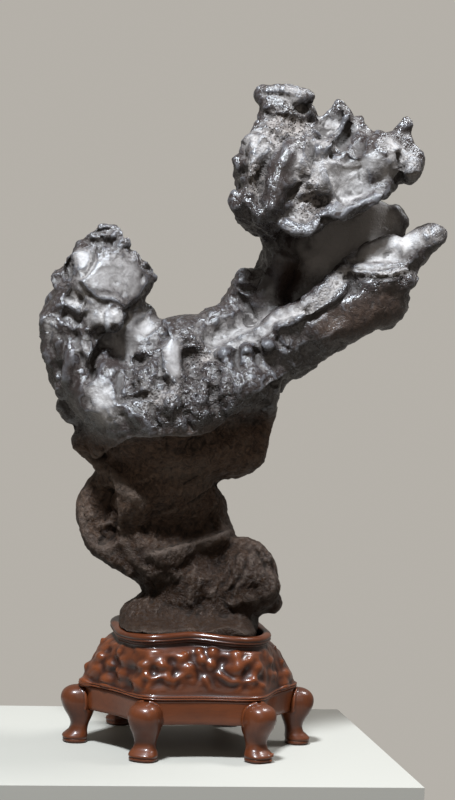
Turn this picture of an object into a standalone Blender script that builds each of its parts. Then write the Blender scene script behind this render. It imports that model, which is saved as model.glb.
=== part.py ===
"""A scholar's rock on its carved hardwood stand.

The rock is one dark limestone that grows from a narrow foot into two horns with a saddle
between them. It drops into a shallow seat carved in the top of a six-legged stand, and
lifts straight out again. Lengths are metres, +Z is up, and the origin is on the surface
the stand rests on, under the middle of the whole object.
"""

import math

import bmesh
import bpy
from mathutils import Matrix, Vector

MM = 0.001
GAP = 0.35 * MM  # air between neighbours that touch on the real thing

# The stand: a hexagon in plan, one leg at each corner, its front side towards -Y.
STAND_CENTRE = Vector((-25.5 * MM, 0, 0))
SIDES = 6
HEXAGON_RADIUS = 87 * MM  # from the centre to a corner of the apron, before rounding
HEXAGON_STRETCH = 1.05  # how much wider than deep the stand is
HEXAGON_ROUNDING = 16  # the power of the rounded hexagon: more is sharper
HEXAGON_BOW = 0.04  # how far the middle of a side is drawn in, as a share of the radius
OUTLINE_STEPS = 72  # points round each outline of the stand

APRON_BOTTOM = 27.5 * MM
APRON_TOP = 47 * MM
APRON_WALL = 8 * MM
APRON_BATTER = 1.5 * MM  # how much further in the apron's lower edge is

# The rim of the seat in plan, as (bearing in degrees, radius): five soft lobes.
RIM_LOBES = (
    (184, 63), (211, 70), (235, 76), (263, 59), (298, 72), (327, 68),
    (354, 59), (26, 60), (52, 62), (84, 52), (124, 64), (152, 66),
)
RIM_TOP = 97 * MM
RIM_WAVE = 2.2 * MM  # the rim rises over the front recess and dips over the front lobes
RIM_HEIGHT = 7 * MM
RIM_WALL = 6 * MM
SEAT_FLOOR = 86 * MM

# The rock's own frame: x right, y away, z up, with its origin under the neck at the surface.
ROCK_ORIGIN = STAND_CENTRE + Vector((-1 * MM, -8 * MM, 0))
ROCK_LEAN = math.radians(2.4)  # it leans to its left as it sits in the seat
ROCK_TURN = math.radians(-9.7)  # and is turned a little on the stand
ROCK_VOXEL = 4.2 * MM
ROCK_TRIANGLES = 4500


# Swellings of the rock: centre x, y, z and half-sizes x, y, z in mm, and a tilt in degrees
# that turns the right-hand end up.
SWELLINGS = (
    # the foot, the knee on its right, and the narrow neck over them
    ((2, 6, 96), (58, 52, 22), 0),
    ((-25, -10, 95), (31, 52, 16), 0),
    ((32, -6, 93), (26, 56, 16), 0),
    ((-31, -4, 108), (24, 32, 15), 10),
    ((4, 6, 128), (40, 40, 32), 0),
    ((46, -2, 133), (29, 30, 32), -10),
    ((69, -4, 114), (10, 12, 9), 0),
    ((24, 4, 168), (15, 28, 20), 0),
    # the lower body, undercut at the back and on the left
    ((-20, 4, 158), (44, 38, 34), -25),
    ((-56, 6, 166), (28, 30, 18), -22),
    ((-62, 6, 190), (28, 30, 33), -12),
    ((-28, 6, 205), (52, 46, 36), 0),
    ((-6, 10, 190), (40, 40, 28), 0),
    ((36, 10, 244), (31, 42, 30), 10),
    ((-14, 6, 248), (74, 54, 34), -6),
    ((-40, 34, 226), (34, 26, 40), 20),
    # the shelf that overhangs the lower body
    ((-52, -12, 278), (48, 60, 36), -32),
    ((-12, -16, 278), (56, 62, 38), 8),
    ((36, -10, 292), (44, 56, 32), 26),
    ((6, 34, 290), (46, 30, 36), -20),
    # the left horn
    ((-82, -6, 312), (32, 42, 46), 12),
    ((-92, -8, 340), (26, 36, 34), 0),
    ((-70, -10, 362), (38, 38, 34), -30),
    ((-66, -8, 391), (26, 26, 24), -10),
    ((-58, -8, 404), (17, 20, 17), 0),
    ((-40, -6, 378), (15, 20, 22), 0),
    ((-34, 0, 326), (24, 34, 22), 0),
    # the saddle between the horns, and the root of its peg
    ((-4, -2, 318), (42, 42, 30), 8),
    ((30, 8, 330), (28, 34, 28), 20),
    ((64, 12, 358), (18, 24, 26), 0),
    # the wall at the back of the cleft, and its left-hand post
    ((104, 24, 372), (52, 17, 58), 30),
    ((146, 26, 410), (34, 16, 30), 20),
    ((75, 10, 406), (17, 34, 42), 0),
    # the right horn over the cleft
    ((64, -4, 462), (29, 50, 36), 0),
    ((66, -20, 433), (30, 42, 26), 8),
    ((78, -4, 510), (25, 28, 19), 0),
    ((102, -8, 456), (42, 56, 38), 15),
    ((92, 34, 440), (36, 26, 40), -10),
    ((138, -6, 464), (42, 44, 27), 24),
    ((126, 8, 488), (22, 26, 24), 0),
    ((174, 0, 467), (18, 24, 18), 0),
    # the arm under the cleft
    ((152, -14, 362), (27, 28, 28), 20),
    ((170, -10, 384), (14, 18, 12), 10),
)

# Limbs of the rock: x, y, z and radius in mm, from the root to the tip.
LIMBS = (
    # the peg at the right of the saddle
    ((38, 10, 352, 13), (44, 11, 366, 12), (47, 11, 377, 10)),
    # the arm that carries the tip, under the cleft
    ((56, -14, 312, 27), (92, -18, 330, 28), (122, -20, 350, 29), (148, -16, 368, 26),
     (170, -12, 389, 18), (184, -9, 402, 14), (196, -8, 410, 12)),
    # the finger and the spike on top of the right horn
    ((114, 4, 494, 12), (120, 4, 506, 9), (124, 4, 515, 7)),
    ((164, 0, 476, 14), (171, 0, 488, 9), (175, 0, 497, 7.5), (177, 0, 503, 7)),
)


def clear_scene():
    for obj in list(bpy.data.objects):
        bpy.data.objects.remove(obj, do_unlink=True)


def new_collection(name):
    made = bpy.data.collections.new(name)
    bpy.context.scene.collection.children.link(made)
    return made


def material(name, colour, roughness, coat=0.0):
    made = bpy.data.materials.new(name)
    made.use_nodes = True
    shader = made.node_tree.nodes["Principled BSDF"]
    shader.inputs["Base Color"].default_value = (*colour, 1)
    shader.inputs["Roughness"].default_value = roughness
    shader.inputs["Metallic"].default_value = 0
    shader.inputs["Coat Weight"].default_value = coat
    return made


def object_from(bm, name, collection, finish=None, smooth_angle=None):
    """Turns a bmesh into a named object in its collection."""
    bmesh.ops.recalc_face_normals(bm, faces=bm.faces)
    mesh = bpy.data.meshes.new(name)
    bm.to_mesh(mesh)
    bm.free()
    if smooth_angle is not None:
        mesh.shade_smooth()
        mesh.set_sharp_from_angle(angle=smooth_angle)
    made = bpy.data.objects.new(name, mesh)
    collection.objects.link(made)
    if finish:
        mesh.materials.append(finish)
    return made


def as_cutter(obj):
    obj.hide_render = True
    obj.display_type = "WIRE"
    return obj


def cut(obj, cutter, operation="DIFFERENCE"):
    made = obj.modifiers.new(f"{operation.lower()} {cutter.name}", "BOOLEAN")
    made.operation = operation
    made.object = cutter
    return made


# ---------------------------------------------------------------- outlines of the stand


def bearings():
    return [2 * math.pi * step / OUTLINE_STEPS for step in range(OUTLINE_STEPS)]


def hexagon(bearing, radius=HEXAGON_RADIUS):
    """Radius of the rounded, hollow-sided, slightly wide hexagon at a bearing."""
    even = math.atan2(math.sin(bearing), math.cos(bearing) / HEXAGON_STRETCH)
    apothem = radius * math.cos(math.pi / SIDES)
    total = 0.0
    for side in range(SIDES):
        facing = math.cos(even - (side + 0.5) * 2 * math.pi / SIDES)
        total += max(0.0, facing) ** HEXAGON_ROUNDING
    rounded = apothem / total ** (1 / HEXAGON_ROUNDING)
    off_corner = math.sin(even * SIDES / 2) ** 2
    reach = rounded - radius * HEXAGON_BOW * off_corner
    return reach * math.hypot(HEXAGON_STRETCH * math.cos(even), math.sin(even))


def rim(bearing):
    """Radius of the seat's rim at a bearing, on a smooth closed curve through its lobes."""
    lobes = sorted((math.radians(angle) % (2 * math.pi), size * MM) for angle, size in RIM_LOBES)
    count = len(lobes)
    for index in range(count):
        start, radius_1 = lobes[index]
        end, radius_2 = lobes[(index + 1) % count]
        span = (end - start) % (2 * math.pi)
        along = (bearing - start) % (2 * math.pi)
        if along > span:
            continue
        radius_0 = lobes[index - 1][1]
        radius_3 = lobes[(index + 2) % count][1]
        t = along / span
        return 0.5 * (
            2 * radius_1 + (radius_2 - radius_0) * t
            + (2 * radius_0 - 5 * radius_1 + 4 * radius_2 - radius_3) * t * t
            + (3 * radius_1 - radius_0 - 3 * radius_2 + radius_3) * t ** 3
        )
    return lobes[0][1]


def rim_rise(bearing):
    """How far the rim lifts above its mean height at a bearing."""
    front = math.radians(262)
    return RIM_WAVE * math.cos(3 * (bearing - front)) * math.exp(-abs(math.sin((bearing - front) / 2)))


def ring(radius_at, height_at):
    """One closed outline round the stand's axis."""
    points = []
    for bearing in bearings():
        radius = radius_at(bearing)
        flat = Vector((radius * math.cos(bearing), radius * math.sin(bearing), height_at(bearing)))
        points.append(STAND_CENTRE + flat)
    return points


def level(height):
    return lambda bearing: height


def loft(rings, hollow=False):
    """A skin over unlike outlines, capped at both ends, or closed on itself if hollow."""
    bm = bmesh.new()
    rows = [[bm.verts.new(point) for point in row] for row in rings]
    pairs = list(zip(rows, rows[1:]))
    if hollow:
        pairs.append((rows[-1], rows[0]))
    for low, high in pairs:
        for index in range(len(low)):
            after = (index + 1) % len(low)
            bm.faces.new((low[index], low[after], high[after], high[index]))
    if not hollow:
        bm.faces.new(rows[0])
        bm.faces.new(rows[-1])
    return bm


# ---------------------------------------------------------------- the stand

# Knobs carved round the shoulder: bearing in degrees, height, half-width, half-height, relief in mm.
KNOB_ROWS = (
    # (number round, height, half-width, half-height, relief, phase in degrees)
    (17, 80, 8, 5, 4.0, 4),
    (15, 70, 9, 6, 5.0, 15),
    (18, 61, 7, 5, 3.5, 0),
)


def knobs(bearing, height):
    """Relief of the carved knobs at a place on the shoulder."""
    relief = 0.0
    for number, middle, wide, tall, deep, phase in KNOB_ROWS:
        for index in range(number):
            swing = math.radians(7) * math.sin(2.3 * index + middle)
            centre = 2 * math.pi * index / number + math.radians(phase) + swing
            across = math.remainder(bearing - centre, 2 * math.pi) * HEXAGON_RADIUS * 0.85
            lift = (height - (middle + 3.5 * math.sin(1.7 * index + phase)) * MM)
            reach = (across / (wide * MM)) ** 2 + (lift / (tall * MM)) ** 2
            relief = max(relief, deep * MM * math.exp(-reach))
    return relief


# The shoulder from the bead up to the rim: height in mm, and the share of the way from the
# hexagon's outline to the rim's.
SHOULDER = (
    (49.0, 0.00), (50.6, 0.04), (52.6, 0.03), (56.0, 0.10), (61.0, 0.18), (66.0, 0.26),
    (71.0, 0.34), (76.0, 0.44), (81.0, 0.58), (84.0, 0.72), (86.0, 0.93),
)


def shoulder_ring(height, share):
    flare = HEXAGON_RADIUS + 1.0 * MM
    ramp = min(1.0, max(0.0, (height / MM - 55) / 6))

    def radius_at(bearing):
        plain = hexagon(bearing, flare) * (1 - share) + (rim(bearing) - 2 * MM) * share
        return plain + knobs(bearing, height) * ramp * min(1.0, (89 - height / MM) / 5)

    def height_at(bearing):
        return height + rim_rise(bearing) * max(0.0, share)

    return ring(radius_at, height_at)


def build_stand_top(collection, finish):
    """The carved block: two beads at its foot, a knobbed shoulder and the rim of the seat."""
    rings = [ring(lambda b: hexagon(b, 10 * MM), level(APRON_TOP + GAP))]
    rings.append(ring(lambda b: hexagon(b) - 1.5 * MM, level(APRON_TOP + GAP)))
    for height, share in SHOULDER:
        rings.append(shoulder_ring(height * MM, share))

    def at(offset, rise):
        return ring(lambda b: rim(b) + offset, lambda b: RIM_TOP + rise + rim_rise(b))

    rings.append(at(-0.5 * MM, -RIM_HEIGHT))
    rings.append(at(1.0 * MM, -RIM_HEIGHT + 2 * MM))
    rings.append(at(0.8 * MM, -2 * MM))
    rings.append(at(-RIM_WALL * 0.4, 0))
    rings.append(at(-RIM_WALL, -1.5 * MM))
    rings.append(ring(lambda b: rim(b) - RIM_WALL, level(SEAT_FLOOR)))
    bm = loft(rings)
    return object_from(bm, "stand_top", collection, finish, math.radians(40))


def build_apron(collection, finish):
    """The plain band under the shoulder, open inside."""
    top = APRON_TOP
    bottom = APRON_BOTTOM
    rings = [
        ring(lambda b: hexagon(b) - APRON_WALL, level(bottom)),
        ring(lambda b: hexagon(b) - APRON_BATTER, level(bottom)),
        ring(lambda b: hexagon(b), level(top)),
        ring(lambda b: hexagon(b) - APRON_WALL, level(top)),
    ]
    return object_from(loft(rings, hollow=True), "apron", collection, finish, math.radians(40))


def build_rebate(collection):
    """What each leg is cut back by, so that its knee laps over the apron."""
    low = APRON_BOTTOM - GAP
    high = APRON_TOP + 30 * MM
    rings = [
        ring(lambda b: 20 * MM, level(low)),
        ring(lambda b: hexagon(b) + GAP - APRON_BATTER, level(low)),
        ring(lambda b: hexagon(b) + GAP, level(APRON_TOP)),
        ring(lambda b: hexagon(b) + GAP, level(high)),
        ring(lambda b: 20 * MM, level(high)),
    ]
    return as_cutter(object_from(loft(rings), "rebate_cutter", collection))


# One leg, from the floor up: height, how far its inner and its outer side stand out from the
# corner of the hexagon, and half its width, in mm.
LEG_SECTIONS = (
    (0.0, -5, 11.0, 9.4), (1.2, -6, 13.0, 10.9), (4.0, -6, 14.0, 11.4), (7.0, -6, 12.0, 10.6),
    (10.5, -6, 8.5, 9.0), (15.0, -7, 7.5, 8.8), (20.0, -9, 9.2, 9.9), (26.0, -11, 13.0, 11.6),
    (32.0, -11, 15.5, 12.6), (38.0, -10, 15.5, 12.3), (42.0, -8, 13.0, 10.6), (44.6, -4, 9.5, 7.2),
    (45.8, 0, 5.5, 3.2),
)
LEG_SQUARENESS = 2.5
LEG_SIDES = 10

LEG_NAMES = (
    "leg_right", "leg_back_right", "leg_back_left",
    "leg_left", "leg_front_left", "leg_front_right",
)


def leg_ring(height, inner, outer, half_width):
    """A squarish oval across the leg, whose origin is the corner and whose +X is outwards."""
    middle = (inner + outer) / 2 * MM
    deep = (outer - inner) / 2 * MM
    points = []
    for step in range(LEG_SIDES):
        angle = 2 * math.pi * (step + 0.5) / LEG_SIDES
        across = math.cos(angle)
        along = math.sin(angle)
        power = 2 / LEG_SQUARENESS
        x = middle + deep * math.copysign(abs(across) ** power, across)
        y = half_width * MM * math.copysign(abs(along) ** power, along)
        points.append(Vector((x, y, height * MM)))
    return points


def build_leg(name, corner, collection, finish, rebate):
    bm = loft([leg_ring(*section) for section in LEG_SECTIONS])
    even = corner * 2 * math.pi / SIDES
    bearing = math.atan2(math.sin(even), HEXAGON_STRETCH * math.cos(even))
    out = Matrix.Translation(Vector((hexagon(bearing), 0, 0)))
    turn = Matrix.Rotation(bearing, 4, "Z")
    bmesh.ops.transform(bm, matrix=Matrix.Translation(STAND_CENTRE) @ turn @ out, verts=bm.verts)
    leg = object_from(bm, name, collection, finish, math.radians(40))
    cut(leg, rebate)
    return leg


# ---------------------------------------------------------------- the rock


def swelling(bm, centre, half_sizes, tilt, detail=3):
    place = Matrix.Translation(Vector(centre) * MM)
    turn = Matrix.Rotation(-math.radians(tilt), 4, "Y")
    size = Matrix.Diagonal((*(Vector(half_sizes) * MM), 1))
    bmesh.ops.create_icosphere(bm, subdivisions=detail, radius=1, matrix=place @ turn @ size)


def limb(bm, stations):
    """A row of balls from station to station, close enough to merge into one bar."""
    for (*start, radius_1), (*end, radius_2) in zip(stations, stations[1:]):
        steps = max(2, math.ceil((Vector(end) - Vector(start)).length / (0.3 * min(radius_1, radius_2))))
        for step in range(steps + 1):
            share = step / steps
            centre = Vector(start).lerp(Vector(end), share)
            radius = radius_1 + (radius_2 - radius_1) * share
            swelling(bm, centre, (radius,) * 3, 0, detail=2)


def rock_place():
    return (
        Matrix.Translation(ROCK_ORIGIN)
        @ Matrix.Rotation(ROCK_TURN, 4, "Z")
        @ Matrix.Rotation(-ROCK_LEAN, 4, "Y")
    )


def build_seat_envelope(collection):
    """All the room the rock may fill: the seat, and everything above the rim."""
    inset = RIM_WALL + GAP

    def rise(bearing):
        return RIM_TOP + GAP + rim_rise(bearing)

    rings = [
        ring(lambda b: rim(b) - inset, level(SEAT_FLOOR + GAP)),
        ring(lambda b: rim(b) - inset, lambda b: rise(b) - 1.8 * MM),
        ring(lambda b: rim(b) - RIM_WALL * 0.5, rise),
        ring(lambda b: rim(b) + 400 * MM, rise),
        ring(lambda b: rim(b) + 400 * MM, level(0.7)),
    ]
    return as_cutter(object_from(loft(rings), "seat_envelope", collection))


def build_rock(collection, finish, envelope):
    """The swellings and limbs run together, smoothed, thinned out and seated."""
    bm = bmesh.new()
    for centre, half_sizes, tilt in SWELLINGS:
        swelling(bm, centre, half_sizes, tilt)
    for stations in LIMBS:
        limb(bm, stations)
    bmesh.ops.transform(bm, matrix=rock_place(), verts=bm.verts)
    rock = object_from(bm, "stone", collection, finish)

    remesh = rock.modifiers.new("run together", "REMESH")
    remesh.mode = "VOXEL"
    remesh.voxel_size = ROCK_VOXEL
    smooth = rock.modifiers.new("soften the joins", "SMOOTH")
    smooth.factor = 0.5
    smooth.iterations = 5
    graph = bpy.context.evaluated_depsgraph_get()
    full = bpy.data.meshes.new_from_object(rock.evaluated_get(graph), depsgraph=graph)
    thin = rock.modifiers.new("thin out", "DECIMATE")
    thin.ratio = ROCK_TRIANGLES / (2 * len(full.polygons))
    bpy.data.meshes.remove(full)
    cut(rock, envelope, "INTERSECT")
    return rock


def main():
    clear_scene()
    parts = new_collection("scholars_rock")
    cutters = new_collection("cutters")
    limestone = material("dark limestone", (0.045, 0.042, 0.045), 0.42)
    hardwood = material("polished hardwood", (0.16, 0.04, 0.022), 0.25, 0.6)

    rock = build_rock(parts, limestone, build_seat_envelope(cutters))
    build_stand_top(parts, hardwood)
    build_apron(parts, hardwood)
    rebate = build_rebate(cutters)
    for corner, name in enumerate(LEG_NAMES):
        build_leg(name, corner, parts, hardwood, rebate)
    rock.data.shade_smooth()


main()
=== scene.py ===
# %% [markdown]
# # A scholar's rock on its carved stand
# The rock is one dark limestone with two horns, rubbed glossy on its high places and dusty in its
# hollows. It stands in a seat carved in a red-brown hardwood stand with six legs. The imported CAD
# model is loaded first as a fixed frame. Every piece made here takes the place of one CAD node and
# stays where that node is.

# %% The frame
import math

import bmesh
import bpy
import numpy as np
from mathutils import Matrix, Vector, noise
from mathutils.bvhtree import BVHTree
from mathutils.kdtree import KDTree


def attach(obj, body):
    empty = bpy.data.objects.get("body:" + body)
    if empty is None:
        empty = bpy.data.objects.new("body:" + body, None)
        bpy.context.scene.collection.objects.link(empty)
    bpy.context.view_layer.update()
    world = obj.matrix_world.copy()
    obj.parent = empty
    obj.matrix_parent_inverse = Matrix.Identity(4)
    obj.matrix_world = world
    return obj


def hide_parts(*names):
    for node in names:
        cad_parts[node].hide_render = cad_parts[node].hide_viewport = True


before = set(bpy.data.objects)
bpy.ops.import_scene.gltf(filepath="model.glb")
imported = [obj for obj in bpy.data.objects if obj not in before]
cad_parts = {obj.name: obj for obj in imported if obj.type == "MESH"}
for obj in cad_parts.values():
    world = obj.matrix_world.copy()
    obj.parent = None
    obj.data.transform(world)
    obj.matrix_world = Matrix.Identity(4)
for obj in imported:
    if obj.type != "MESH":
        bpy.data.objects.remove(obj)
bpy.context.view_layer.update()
MM = 0.001


def placed(name, data):
    """A new object in the scene that holds the data."""
    made = bpy.data.objects.new(name, data)
    bpy.context.scene.collection.objects.link(made)
    return made


print("nodes:", ", ".join(sorted(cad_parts)))

# %% [markdown]
# ## Where the rock and the stand are
# The rock has a frame of its own: x right, y away and z up, in millimetres. It leans a little to
# its left in its seat and is turned a little on the stand, as on the CAD model.

# %% Places
STAND_CENTRE = Vector((-25.5 * MM, 0, 0))
ROCK_ORIGIN = STAND_CENTRE + Vector((-1 * MM, -8 * MM, 0))
ROCK_LEAN = math.radians(2.4)
ROCK_TURN = math.radians(-9.7)

rock_place = (
    Matrix.Translation(ROCK_ORIGIN)
    @ Matrix.Rotation(ROCK_TURN, 4, "Z")
    @ Matrix.Rotation(-ROCK_LEAN, 4, "Y")
    @ Matrix.Scale(MM, 4)
)
rock_home = rock_place.inverted()

# %% [markdown]
# ## The camera
# A long lens two metres away, a little above the middle of the rock and looking slightly down,
# and rolled by a couple of degrees. Its place is worked out from the distance, the height and the
# angles, so each can be changed by itself.

# %% Camera
VIEW_WIDTH = 455
VIEW_HEIGHT = 800
FOCAL_PIXELS = 2500
SENSOR = 36.0
CAMERA_BACK = 2.0
CAMERA_HEIGHT = 0.4
CAMERA_RIGHT = 0.0212
CAMERA_YAW = math.radians(-9.67)
CAMERA_DIP = math.radians(3.444)
CAMERA_ROLL = math.radians(2.437)

camera_data = bpy.data.cameras.new("camera")
camera_data.lens = FOCAL_PIXELS / VIEW_HEIGHT * SENSOR
camera_data.sensor_width = SENSOR
camera = placed("camera", camera_data)
camera.matrix_world = (
    Matrix.Translation(ROCK_ORIGIN)
    @ Matrix.Rotation(CAMERA_YAW, 4, "Z")
    @ Matrix.Translation(Vector((CAMERA_RIGHT, -CAMERA_BACK, CAMERA_HEIGHT)))
    @ Matrix.Rotation(math.pi / 2 - CAMERA_DIP, 4, "X")
    @ Matrix.Rotation(CAMERA_ROLL, 4, "Z")
)
bpy.context.scene.camera = camera


def sight_line(across, down):
    """Where a line of sight starts and which way it goes, for a place in the 455 x 800 view."""
    start = camera.matrix_world.translation
    away = Vector((across - VIEW_WIDTH / 2, VIEW_HEIGHT / 2 - down, -FOCAL_PIXELS))
    return start, (camera.matrix_world.to_3x3() @ away).normalized()


print("lens", round(camera_data.lens, 1), "mm")

# %% [markdown]
# ## Floor, air and light
# The floor is a plain pale slab, and the air round it is one warm grey. A strong cool lamp over the
# front left gives the rock's upper sides their shine, a weaker one on the right draws the edges,
# and a faint warm one fills the front. The overhanging shelf then shades the lower body by itself.

# %% Floor and lights
FLOOR_LEFT = -0.9
FLOOR_RIGHT = 0.132
FLOOR_FRONT = -0.166
FLOOR_BACK = 0.15
FLOOR_THICK = 0.05
FLOOR_COLOUR = (0.26, 0.246, 0.217)
FLOOR_ROUGHNESS = 0.6
AIR_COLOUR = (0.46, 0.435, 0.395)
AIR_STRENGTH = 0.6
BACKGROUND_STRENGTH = 1.0
LAMP_AIM = Vector((0.0, 0.0, 0.3))


def add_lamp(name, place, size, power, colour):
    """A square area lamp that faces the middle of the rock."""
    data = bpy.data.lights.new(name, "AREA")
    data.energy = power
    data.size = size
    data.color = colour
    away = LAMP_AIM - Vector(place)
    turn = away.to_track_quat("-Z", "Y").to_matrix().to_4x4()
    placed(name, data).matrix_world = Matrix.Translation(Vector(place)) @ turn


add_lamp("key_lamp", (-0.5, -0.95, 2.1), 0.3, 172, (0.84, 0.92, 1.0))
add_lamp("edge_lamp", (1.0, 0.2, 1.9), 0.5, 40, (0.92, 0.96, 1.0))
add_lamp("front_lamp", (0.3, -2.2, 0.9), 1.2, 5, (1.0, 0.95, 0.88))

world = bpy.data.worlds.new("air")
world.use_nodes = True
air = world.node_tree
background = air.nodes["Background"]
background.inputs["Color"].default_value = (*AIR_COLOUR, 1)
seen = air.nodes.new("ShaderNodeLightPath")
strength = air.nodes.new("ShaderNodeMapRange")
strength.inputs["To Min"].default_value = AIR_STRENGTH
strength.inputs["To Max"].default_value = BACKGROUND_STRENGTH
air.links.new(seen.outputs["Is Camera Ray"], strength.inputs["Value"])
air.links.new(strength.outputs["Result"], background.inputs["Strength"])
bpy.context.scene.world = world
bpy.context.scene.view_settings.view_transform = "Standard"

floor_shape = bmesh.new()
bmesh.ops.create_cube(floor_shape, size=1)
floor_sides = (FLOOR_RIGHT - FLOOR_LEFT, FLOOR_BACK - FLOOR_FRONT, FLOOR_THICK)
floor_middle = ((FLOOR_RIGHT + FLOOR_LEFT) / 2, (FLOOR_BACK + FLOOR_FRONT) / 2, -FLOOR_THICK / 2)
bmesh.ops.scale(floor_shape, vec=floor_sides, verts=floor_shape.verts)
bmesh.ops.translate(floor_shape, vec=floor_middle, verts=floor_shape.verts)
floor_mesh = bpy.data.meshes.new("floor")
floor_shape.to_mesh(floor_mesh)
floor_shape.free()
floor_paint = bpy.data.materials.new("floor_paint")
floor_paint.use_nodes = True
floor_shader = floor_paint.node_tree.nodes["Principled BSDF"]
floor_shader.inputs["Base Color"].default_value = (*FLOOR_COLOUR, 1)
floor_shader.inputs["Roughness"].default_value = FLOOR_ROUGHNESS
floor_mesh.materials.append(floor_paint)
floor = placed("floor", floor_mesh)

# %% [markdown]
# ## Working the rock like clay
# The real stone was shaped by water and then by a carver's rasp, so the way to its form is the
# way a sculptor works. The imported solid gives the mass. Rolls and knobs of clay are pressed on
# where the stone swells, all of it is run together, and then tools are drawn over the skin: a
# groove, a ridge, a step, a flat scrape, a hollow. Each tool is told where it goes as the eye
# sees it from one side, and a sight line finds the skin there.

# %% Sides to work from
FAR = 900.0
ROCK_MIDDLE = Vector((0, 0, 300))


def from_front(across, down):
    """A sight line of the camera, in the rock's own millimetres."""
    start, away = sight_line(across, down)
    return rock_home @ start, (rock_home.to_3x3() @ away).normalized()


def from_behind(x, z):
    return Vector((x, FAR, z)), Vector((0, -1, 0))


def from_left(y, z):
    return Vector((-FAR, y, z)), Vector((1, 0, 0))


def from_right(y, z):
    return Vector((FAR, y, z)), Vector((-1, 0, 0))


def from_above(x, y):
    return Vector((x, y, FAR)), Vector((0, 0, -1))


# %% The skin
def skin_tree(mesh):
    """What a sight line is tried against."""
    shape = bmesh.new()
    shape.from_mesh(mesh)
    tree = BVHTree.FromBMesh(shape)
    shape.free()
    return tree


def read(items, what, width, kind=float):
    """One property of every vertex or edge, as a row each."""
    flat = np.empty(len(items) * width, dtype=kind)
    items.foreach_get(what, flat)
    return flat.reshape(-1, width)


def skin_points(mesh):
    return read(mesh.vertices, "co", 3)


def skin_normals(mesh):
    return read(mesh.vertices, "normal", 3)


def move_skin(mesh, points):
    mesh.vertices.foreach_set("co", points.ravel())
    mesh.update()


def relax(mesh, values, times):
    """Moves each point's value half way to the mean of its neighbours', so many times over."""
    edges = read(mesh.edges, "vertices", 2, np.int32)
    near = np.concatenate([edges[:, 0], edges[:, 1]])
    other = np.concatenate([edges[:, 1], edges[:, 0]])
    count = np.maximum(np.bincount(near, minlength=len(values)), 1)
    for _ in range(times):
        sums = [np.bincount(near, weights=column[other], minlength=len(values)) for column in values.T]
        values = values + (np.stack(sums, axis=1) / count[:, None] - values) * 0.5
    return values


def land(tree, side, place):
    """Where a sight line meets the skin, or the nearest skin to it where it misses."""
    start, away = side(*place)
    spot = tree.ray_cast(start, away)[0]
    if spot is None:
        middle = start + away * away.dot(ROCK_MIDDLE - start)
        spot = tree.find_nearest(middle)[0]
    return spot, away


def land_all(tree, side, places):
    """Where a row of sight lines meets the skin, and the way they go on the whole."""
    landed = [land(tree, side, place) for place in places]
    away = np.array(sum((line for _, line in landed), Vector())) / len(landed)
    return [spot for spot, _ in landed], away


# %% A smooth path over chosen places
PATH_SPACING = 1.2


def catmull(before, start, end, after, t):
    """A smooth step from start to end that keeps the slope of its neighbours."""
    return 0.5 * (
        2 * start + (end - before) * t
        + (2 * before - 5 * start + 4 * end - after) * t * t
        + (3 * start - before - 3 * end + after) * t ** 3
    )


def stretches(anchors):
    """The four anchors round every stretch between two, with one made up beyond each end."""
    spots = [np.array(anchor, dtype=float) for anchor in anchors]
    if len(spots) == 1:
        return []
    padded = [2 * spots[0] - spots[1]] + spots + [2 * spots[-1] - spots[-2]]
    return [padded[index:index + 4] for index in range(len(spots) - 1)]


def smooth_path(anchors, spacing=PATH_SPACING):
    """Evenly spaced samples on a smooth line through the anchors."""
    samples = []
    for stretch in stretches(anchors):
        steps = max(2, int(np.linalg.norm((stretch[2] - stretch[1])[:3]) / spacing))
        samples += [catmull(*stretch, step / steps) for step in range(steps)]
    samples.append(np.array(anchors[-1], dtype=float))
    return np.array(samples)


# %% The tools
DEPTH_WEIGHT = 0.35  # how much a distance along the sight line counts beside one across it
END_TAPER = 0.12  # the share of a stroke over which it grows to its full strength
STEP_HIGH_REACH = 2.2  # how many widths the high side of a step reaches; the low side reaches one
STEP_LOW_SHARE = 0.6  # how deep the low side is beside the high one
STEP_EDGE = 3.2  # how wide the edge between them is, in mm
SCRAPE_DEPTH = 45  # how far from the plane a scrape still takes hold, in mm
SCRAPE_SHARE = 0.85  # how much of the way to the plane it moves the skin
SCRAPE_MOST = 12  # and the furthest that it moves it, in mm


def tool_round(share):
    return np.clip(1 - share ** 2, 0, 1) ** 2


def tool_sharp(share):
    return np.clip(1 - share, 0, 1) ** 1.7


TOOLS = {"round": tool_round, "sharp": tool_sharp}


def squashed(vectors, away):
    """The vectors with what they have along the sight line shortened."""
    along = vectors @ away
    return vectors - (1 - DEPTH_WEIGHT) * along[:, None] * away


def facing(normals, away):
    """1 where the skin faces the eye, less and less towards its outline, and 0 behind."""
    return np.clip(0.35 - (normals @ away) * 1.3, 0, 1)


def close_by(points, path, margin):
    """Which points are in the path's box, let out by the margin."""
    inside = (points > path.min(axis=0) - margin) & (points < path.max(axis=0) + margin)
    return np.where(inside.all(axis=1))[0]


def step_shape(signed, width):
    """High on one side of the path and lower on the other, by the distance to it."""
    high = np.where(signed > 0, np.clip(1 - signed / (STEP_HIGH_REACH * width), 0, 1) ** 1.5, 0)
    low = np.where(signed <= 0, np.clip(1 + signed / width, 0, 1) ** 1.5, 0)
    edge = np.clip(signed / STEP_EDGE + 0.5, 0, 1)
    return high * edge - STEP_LOW_SHARE * low * (1 - edge)


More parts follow.
